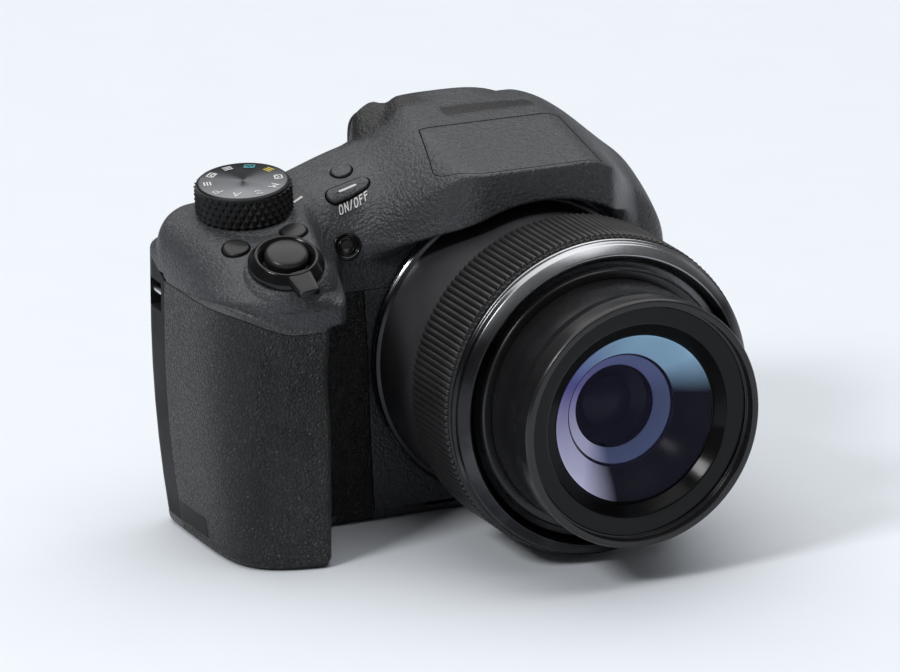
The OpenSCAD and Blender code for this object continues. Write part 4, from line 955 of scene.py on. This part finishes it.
class CAMERA_OT_lens(Step, bpy.types.Operator):
    """Barrels, rings and glass of the lens, turned on the lens axis"""

    bl_idname = "camera.lens"
    bl_label = "Lens"

    def build(self, scene):
        s = scene.camera_sizes
        self.axis = np.array(Matrix.Translation((0, 0, s.lens_z)) @ Matrix.Rotation(np.pi / 2, 4, "X"))
        b, r, rim, far = s.barrel_r, s.ring_r, s.lens_reach, s.thread_r
        d0 = rim - 23.3 - s.ring_len
        d1 = d0 + s.ring_len
        sleeve, mid, inner = r - 4.6, r - 7.0, far + 1.3
        bore = mid + 0.05
        ring = self.ring
        ring("fixed_barrel_skin", "body", "lens_black", "fixed_barrel", finish="barrel_grey", profile=[
            (16, 9.05), (b, 9.05), (b, d0 - 0.3), (sleeve, d0 - 0.3), (sleeve, d1 + 0.3), (bore, d1 + 0.3),
            (bore, 12.05), (16, 12.05)])
        ring("trim_ring_skin", "body", "bright_trim", "trim_ring", soft=0.25, finish="dark_chrome_painted_highlight", profile=[
            (b + 0.05, 9.55), (b + 1.4, 9.55), (b + 1.4, 10.9), (b + 0.9, 11.6), (b + 0.05, 11.95)])
        ring("trim_line", "body", "bright_trim", soft=0.05, profile=[
            (b + 1.36, 10.5), (b + 1.44, 10.6), (b + 1.3, 11.05), (b + 1.1, 11.3), (b + 0.9, 11.5)])
        ring("bezel_skin", "body", "bright_trim", "bezel_ring", soft=0.3, finish="dark_chrome_painted_highlight", profile=[
            (bore, d1 + 0.4), (r - 0.6, d1 + 0.4), (r - 0.6, d1 + 1.0), (r - 1.2, d1 + 1.3), (r - 1.4, d1 + 2.6),
            (r - 3.4, d1 + 4.3), (r - 4.0, d1 + 4.2), (r - 5.4, d1 + 2.2), (bore, d1 + 1.9)])
        self.ribs(s, d0, d1, sleeve)
        ring("mid_barrel_skin", "mid", "lens_black", "mid_barrel", finish="barrel_satin", profile=[
            (15, 13.05), (mid, 13.05), (mid, d1 + 3.3), (mid - 0.4, d1 + 3.7), (inner + 0.05, d1 + 3.7),
            (inner + 0.05, 16.05), (15, 16.05)])
        ring("front_barrel_skin", "front", "lens_black", "front_barrel", soft=0.2, finish="barrel_satin", profile=[
            (inner, 16.65), (inner, rim - 8), (inner + 0.5, rim - 5), (inner + 0.5, rim - 0.7), (inner + 0.1, rim),
            (far, rim), (far, rim - 2.5), (far - 0.6, rim - 2.5), (far - 0.6, rim - 6), (20.05, rim - 6),
            (20.05, rim - 9), (inner - 1.8, rim - 9), (inner - 1.8, 16.65)])
        last = 21
        steps = np.linspace(far - 4.9, 19.9, last + 1)
        teeth = [(q, rim - 3.25 - 1.5 * i / last - (0.16 if i % 2 else 0)) for i, q in enumerate(steps)]
        ring("name_ring_skin", "front", "name_gloss", "name_ring", soft=0.04, profile=[
            (19.6, rim - 5.9), (far - 0.7, rim - 5.9), (far - 0.7, rim - 2.6), (far - 4.6, rim - 3.1), *teeth,
            (19.6, rim - 5)])
        self.glass(rim)

    def ring(self, name, *args, profile, soft=0.12, **kw):
        """Profile of radius and forward distance turned on the lens axis, with its corners softened."""
        lathe(name, turned(soften(profile, soft) if soft else profile, 256, self.axis), *args, **kw)

    def glass(self, rim):
        """Front dome and, behind it, two bowls with painted reflections and glow and a dark pupil, each a turned
        curve.
        """
        dome_r, dome_edge = 160, 19.4
        reach = dome_edge * np.linspace(1, 0, 24)
        dome = [(q, rim - 3.4 - (dome_r - np.sqrt(dome_r ** 2 - q ** 2))) for q in reach]
        w = ramp(14)
        bowl = [(mix(19.5, 13.4, q), rim - 5.2 - 6.5 * q ** 1.25) for q in w]
        end = bowl[-1][1]
        core = [(mix(12.8, 9.8, q), end - 0.8 - 2.8 * q ** 1.2) for q in w]
        step = [bowl[-1], (13.2, end), (12.9, end - 0.7), core[0]]
        back = core[-1][1]
        pupil = [(9.8, back), (9.4, back - 2.6), (6.3, back - 4.4), (6.1, back - 3.8), (5.9, back - 3.7)]
        pupil += [(5.9 * q, back - 3.7 + 1.4 * (1 - q * q)) for q in np.linspace(0.95, 0.003, 12)]
        for name, profile, soft, finish, *nodes in (
            ("front_glass", dome, 0, "lens_glass"),
            ("glass_bowl", [(19.55, rim - 4.6), *bowl], 0, "bowl_coat"),
            ("glass_step", step, 0.1, "pupil_glass"),
            ("glass_core", core, 0, "core_coat"),
            ("glass_pupil", pupil, 0, "pupil_glass", "front_lens"),
        ):
            self.ring(name, "front", "lens_glass", *nodes, profile=profile, soft=soft, finish=finish)

    def ribs(self, s, d0, d1, sleeve):
        """Control ring: rounded ribs in a band between two plain lips, radius as a function of angle and distance."""
        per_rib, rib_deep, lip_deep = 12, 0.85, 0.18
        a = circle(s.rib_count * per_rib)
        r = s.ring_r
        prof = np.array([(sleeve, d0), (r - 1.0, d0), (r - 0.75, d0 + 0.1), (r - 0.5, d0 + 0.25), (r - 0.2, d0 + 0.5),
                         (r, d0 + 0.9), (r, d0 + 6), (r, d0 + 10), (r, d1 - 6), (r, d1 - 1.9), (r - 0.2, d1 - 1.6),
                         (r - 0.9, d1 - 1.4), (r - 0.95, d1 - 1.1), (r - 0.4, d1 - 1.0), (r - 0.3, d1 - 0.85),
                         (r - 0.3, d1 - 0.2), (r - 0.6, d1), (sleeve, d1)])
        at = prof[:, 1]
        band = rise(at, d0 + 0.05, d0 + 0.5) * (at < d1 - 1.45)
        lip = ((at > d1 - 1.05) & (at < d1 - 0.1)).astype(float)
        wave = np.abs(np.sin(a * s.rib_count / 2)) ** 0.5
        rad = prof[:, 0] - (band * rib_deep + lip * lip_deep) * (1 - wave)
        points = moved(stacked(rad * np.cos(a), rad * np.sin(a), at), self.axis)
        lathe("control_ring_skin", points, "ring", "ring_rubber", "control_ring", sharp=0.9)


class CAMERA_OT_controls(Step, bpy.types.Operator):
    """Mode dial, zoom lever, shutter button, keys, focus lamp and printed marks"""

    bl_idname = "camera.controls"
    bl_label = "Top controls"

    def build(self, scene):
        form = Form(scene.camera_sizes)
        for piece in (self.dial, self.lever, self.keys, self.lamp, self.prints):
            piece(form)

    def lever(self, form):
        """Zoom lever: a cone with a dished top and a tapered tab, round the domed shutter button."""
        m = form.place(*form.shutter_at)
        r, q = form.s.lever_r, form.s.shutter_r
        ring = [(6.25, 0.45), (r - 0.1, 0.45), (r, 0.7), (r, 1.7), (r - 1.5, 3.75), (r - 1.9, 3.9), (r - 2.3, 3.7),
                (5.55, 2.6), (5.5, 2.3), (6.25, 2.3)]
        lathe("lever_skin", turned(soften(ring, 0.25), 128, m), "lever", "gloss_black", "zoom_lever")
        a, power = circle(64), 5
        box = (np.abs(np.cos(a)) ** power + np.abs(np.sin(a)) ** power) ** (-1 / power)
        t = np.array([0, 0.2, 0.5, 0.8, 0.93, 0.98, 1.0, 1.0])
        shut = np.array([1, 1, 1, 1, 1, 0.95, 0.8, 0.0])
        wide, high, top = mix(6.2, 5.0, t) / 2, mix(2.6, 2.1, t) / 2, mix(3.75, 3.1, t)
        tab = stacked(box * np.cos(a) * wide * shut, 2.6 - r - 6.6 * t, top - high + box * np.sin(a) * high * shut)
        grid("lever_tab", moved(tab, m), "lever", "gloss_black", wrap=True)
        button = [(2.4, 1.9), (q - 0.2, 1.9), (q, 2.2), (q, 4.1), (q - 0.3, 4.6), (q * 0.8, 4.95), (q * 0.5, 5.25),
                  (q * 0.2, 5.4), (0.01, 5.42)]
        lathe("shutter_skin", turned(soften(button, 0.35), 96, m), "shutter", "key_satin", "shutter_button")

    def keys(self, form):
        """Round keys and the long power key: low caps inside a near-black ring of painted shade for the gap, that
        follows the cover.
        """
        k = form.s.key_r
        turn = np.array(Matrix.Rotation(np.radians(-5), 4, "Z"))
        for name, at, r, long, slot in (("custom", form.custom_at, k, 0.0, "key_satin"),
                                        ("focus", form.focus_at, k, 0.0, "key_satin"),
                                        ("finder", form.finder_at, 2.4, 0.0, "cover_plastic"),
                                        ("power", form.power_at, 1.75, 3.5, "cover_plastic")):
            m = form.place(*at) @ turn
            cap = [(r, -1), (r, 0.3), (r - 0.15, 0.5), (r * 0.85, 0.6), (r * 0.5, 0.65), (0.01, 0.67)]
            lathe(name + "_skin", self.laid(form, soften(cap, 0.1), m, long), name, slot, name + "_key")
            gap = [(r - 0.2, 0.06), (r + 0.14, 0.06), (r + 0.22, 0.14), (r + 0.34, 0.12), (r + 0.5, -0.15)]
            # painted shade: the gap round each key is a near-black ring on the cover
            lathe(name + "_gap", self.laid(form, gap, m, long), "body", "gloss_black", finish="gap_painted_shade")
        bar = self.laid(form, [(0.26, 0.66), (0.22, 0.73), (0.005, 0.73)], m, 2.0)
        lathe("power_bar", bar, "power", "key_satin", finish="print_white")

    def laid(self, form, profile, m, long):
        """Turned profile bent to the cover: each point is lifted by what the cover rises above the key's plane."""
        p = np.asarray(profile, float)
        points, foot = turned(p, 96, m, long), turned(p * [1, 0], 96, m, long)
        points[..., 2] += form.top_z(foot[..., 0], foot[..., 1]) - foot[..., 2]
        return points

    def lamp(self, form):
        """Focus lamp: a ringed black recess with a small dark lens, square to the front of the cover."""
        x, z = form.lamp_at
        reach = 2
        right = (form.front_at(x + reach, z) - form.front_at(x - reach, z)) / (2 * reach)
        up = (form.front_at(x, z + reach) - form.front_at(x, z - reach)) / (2 * reach)
        out, side = Vector((right, -1, up)).normalized(), Vector((1, right, 0)).normalized()
        turn = Matrix((side, out.cross(side), out)).transposed().to_4x4()
        m = np.array(Matrix.Translation((x, form.front_at(x, z), z)) @ turn)
        well = [(3.4, -0.6), (3.3, 0.7), (3.1, 0.95), (2.8, 0.95), (2.5, 0.7), (2.35, 0.5), (2.0, 0.5), (1.85, 0.75),
                (1.6, 0.8), (1.5, 0.7), (1.4, 0.5)]
        lathe("lamp_ring", turned(soften(well, 0.12), 96, m), "body", "gloss_black")
        dome = [(1.45 * q, 0.85 - 0.3 * q * q) for q in np.linspace(1, 0.005, 12)]
        lathe("lamp_dome", turned(dome, 64, m), "body", "lamp_lens", "af_lamp")

    def dial(self, form):
        """Mode dial: a drum cut by two crossed sets of slanting grooves, radius as a function of angle and height."""
        m = form.place(*form.dial_at)
        teeth, per_tooth, turns, cut = 36, 12, 2.0, 0.7
        a = circle(teeth * per_tooth)
        z0, z1, r = 1.0, 1.0 + form.s.dial_h, form.s.dial_r
        zz = np.linspace(z0 + 0.45, z1 - 0.9, 49)
        v = (zz - zz[0]) / (zz[-1] - zz[0]) * turns
        u = a * teeth / (2 * np.pi)
        groove = [np.abs(2 * (p - np.round(p))) for p in (u + v, u - v)]
        drum = r - 0.45 + cut * np.minimum(*groove)
        lower = np.array([(3.0, z0), (r - 1.2, z0), (r - 0.7, z0 + 0.1), (r - 0.45, z0 + 0.4)])
        upper = np.array([(r - 0.4, z1 - 0.85), (r - 0.35, z1 - 0.7), (r - 0.4, z1 - 0.3), (r - 0.75, z1),
                          (r - 1.0, z1)])
        ones = np.ones_like(a)
        rad = np.concatenate([ones * lower[:, 0], drum, ones * upper[:, 0]], 1)
        z = np.concatenate([lower[:, 1], zz, upper[:, 1]])
        points = moved(stacked(rad * np.cos(a), rad * np.sin(a), z), m)
        lathe("mode_dial_skin", points, "dial", "dial_black", "mode_dial", sharp=0.35)
        cap = [(r - 1.0, z1 - 0.3), (r - 1.02, z1 - 0.02), (r - 1.15, z1 + 0.04), (0.01, z1 + 0.06)]
        lathe("dial_cap_skin", turned(cap, 128, m), "dial", "dial_metal", "dial_cap")
        high, lift, inset, inks = 2.0, 0.1, 3.0, {5: "print_yellow", 6: "print_teal"}
        for i, sign in enumerate(("P", "A", "S", "M", "frame", "bars", "frame", "bars", "frame", "bars")):
            flat, faces = ribbons([[(x - 0.4, y - 0.5) for x, y in line] for line in SIGNS[sign]], 0.17)
            x, y = spin(flat * high + [0, r - inset], -250 + 36 * i).T
            ink = inks.get(i, "print_white")
            mesh(f"dial_mark_{i}", moved(stacked(x, y, z1 + lift), m), faces, "dial", "dial_metal", finish=ink)

    def prints(self, form):
        """Index mark of the dial and the words on and off by the power key, laid on the cover."""
        lift = 0.12
        for name, lines, wide, at, turn in (
            ("dial_index", [[(0, 0), (2.6, 0)]], 0.7, (-51.9, -1.2), 28.0),
            ("power_print", word("ON/OFF", 1.05, 0.5), 0.22, (-42.5, -5.9), -6.0),
        ):
            flat, faces = ribbons(lines, wide)
            x, y = (spin(flat, turn) + at).T
            points = stacked(x, y, form.top_z(x, y) + lift)
            mesh(name, points, faces, "body", "cover_plastic", finish="print_white")


class CAMERA_OT_rear(Step, bpy.types.Operator):
    """Eyecup with a rolled lip round the finder window"""

    bl_idname = "camera.rear"
    bl_label = "Rear pieces"

    def build(self, scene):
        """Rounded rectangles from the window out to the lip: a share of 0 is the window and of 1 the outside."""
        s = scene.camera_sizes
        a, power = circle(128), 4.5
        c, q = np.cos(a), np.sin(a)
        k = (np.abs(c) ** power + np.abs(q) ** power) ** (-1 / power)
        prof = soften([(1.0, 20.65), (1.0, 24.2), (0.9, 25.2), (0.66, 24.6), (0.0, 22.2), (0.0, 20.65)], 0.8, 6)
        share, y = prof.T
        x = s.hump_x - 3 + k * c * mix(11, 19.2, share)
        z = s.hump_z + mix(k * q * 6.3 - 10.5, k * q * 9.0 - 10.4, share)
        grid("eyecup_skin", stacked(x, y, z), "body", "soft_rubber", "eyecup", wrap=True)


class CAMERA_OT_cad_finish(Step, bpy.types.Operator):
    """Finishes of the CAD nodes that are shown as they are"""

    bl_idname = "camera.cad_finish"
    bl_label = "CAD finishes"

    def build(self, scene):
        own = {"rear_cover": "rear_shell"}
        for part in frame["record"]["subparts"]:
            data = frame["nodes"][part["node"]].data
            data.materials.clear()
            data.materials.append(look(own.get(part["node"], part["material_slot"])))


class CAMERA_OT_stage(Step, bpy.types.Operator):
    """Pale floor, soft lights and the photograph's camera"""

    bl_idname = "camera.stage"
    bl_label = "Stage"

    def build(self, scene):
        scene.view_settings.view_transform = "Standard"
        world = bpy.data.worlds.new("studio")
        scene.world = world
        world.use_nodes = True
        back = world.node_tree.nodes["Background"]
        back.inputs["Color"].default_value = (0.95, 0.97, 1.0, 1)
        back.inputs["Strength"].default_value = 0.15
        self.floor(scene, tuple(scene.camera_colours.floor))
        self.light(scene, "overhead", (0.25, 0.5, 2.4), (0, 0, 0.04), 3.6, 70.0)
        self.light(scene, "left", (-1.5, -0.6, 1.4), (0, -0.03, 0.05), 0.45, 18.0)
        self.light(scene, "right", (1.4, 0.25, 0.45), (0, -0.05, 0.04), 0.6, 0.8)
        self.view(scene)

    def view(self, scene):
        """Long-lens camera at the angles and the place fitted to the photograph."""
        cam = bpy.data.objects.new("camera", bpy.data.cameras.new("camera"))
        scene.collection.objects.link(cam)
        az, el = np.radians(-25.03), np.radians(17.21)
        right = Vector((np.cos(az), np.sin(az), 0))
        rear = Vector((np.sin(az) * np.cos(el), -np.cos(az) * np.cos(el), np.sin(el)))
        turn = Matrix((right, rear.cross(right), rear)).transposed().to_4x4()
        cam.matrix_world = Matrix.Translation((-0.7659, -1.6148, 0.5916)) @ turn
        cam.data.lens = 320.0
        cam.data.sensor_width = 36.0
        cam.data.clip_end = 50.0
        scene.camera = cam

    def floor(self, scene, pale):
        """Flat floor: pale where it is seen or mirrored, and dimmer in the light that it throws back."""
        half, n = 4, 9
        t = np.linspace(-half, half, n)
        points = stacked(t[:, None], t[None, :], 0.0).reshape(-1, 3)
        data = bpy.data.meshes.new("floor")
        data.from_pydata(points.tolist(), [], quads(n, n).tolist())
        floor = bpy.data.objects.new("floor", data)
        scene.collection.objects.link(floor)
        m = Shade("floor_paper", pale, 0.9, 0.0, 0.1)
        path = m.node("ShaderNodeLightPath").outputs
        seen = m.math("MAXIMUM", path["Is Camera Ray"], path["Is Glossy Ray"])
        seen = m.math("MAXIMUM", seen, path["Is Transmission Ray"])
        paper = m.levels(m.noise(40.0), 0.985, 1.015)
        m.set("Base Color", m.blend(seen, scaled(pale, 0.3), paper))
        data.materials.append(m.mat)

    def light(self, scene, name, at, to, size, power):
        """Square soft light aimed at a point."""
        data = bpy.data.lights.new(name, "AREA")
        data.size = size
        data.energy = power
        lamp = bpy.data.objects.new(name, data)
        scene.collection.objects.link(lamp)
        aim = (Vector(to) - Vector(at)).to_track_quat("-Z", "Y").to_matrix().to_4x4()
        lamp.matrix_world = Matrix.Translation(at) @ aim


class CAMERA_PT_looks(bpy.types.Panel):
    """Sizes, colours and build steps of the camera"""

    bl_idname = "CAMERA_PT_looks"
    bl_label = "Bridge camera"
    bl_space_type = "VIEW_3D"
    bl_region_type = "UI"
    bl_category = "Camera"

    def draw(self, context):
        for group in (context.scene.camera_sizes, context.scene.camera_colours):
            for name in group.__annotations__:
                self.layout.prop(group, name)
        for step in STEPS:
            self.layout.operator(step.bl_idname)


STEPS = (CAMERA_OT_cad_finish, CAMERA_OT_top_housing, CAMERA_OT_grip, CAMERA_OT_lens, CAMERA_OT_controls,
         CAMERA_OT_rear, CAMERA_OT_stage)
CLASSES = (CameraSizes, CameraColours, *STEPS, CAMERA_PT_looks)


def register():
    for cls in CLASSES:
        bpy.utils.register_class(cls)
    bpy.types.Scene.camera_sizes = bpy.props.PointerProperty(type=CameraSizes)
    bpy.types.Scene.camera_colours = bpy.props.PointerProperty(type=CameraColours)


def unregister():
    del bpy.types.Scene.camera_colours
    del bpy.types.Scene.camera_sizes
    for cls in reversed(CLASSES):
        bpy.utils.unregister_class(cls)


def main():
    """Registers the add-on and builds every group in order."""
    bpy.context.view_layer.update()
    register()
    bpy.ops.camera.cad_finish()
    bpy.ops.camera.top_housing()
    bpy.ops.camera.grip()
    bpy.ops.camera.lens()
    bpy.ops.camera.controls()
    bpy.ops.camera.rear()
    bpy.ops.camera.stage()
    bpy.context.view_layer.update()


if __name__ == "__main__":
    main()
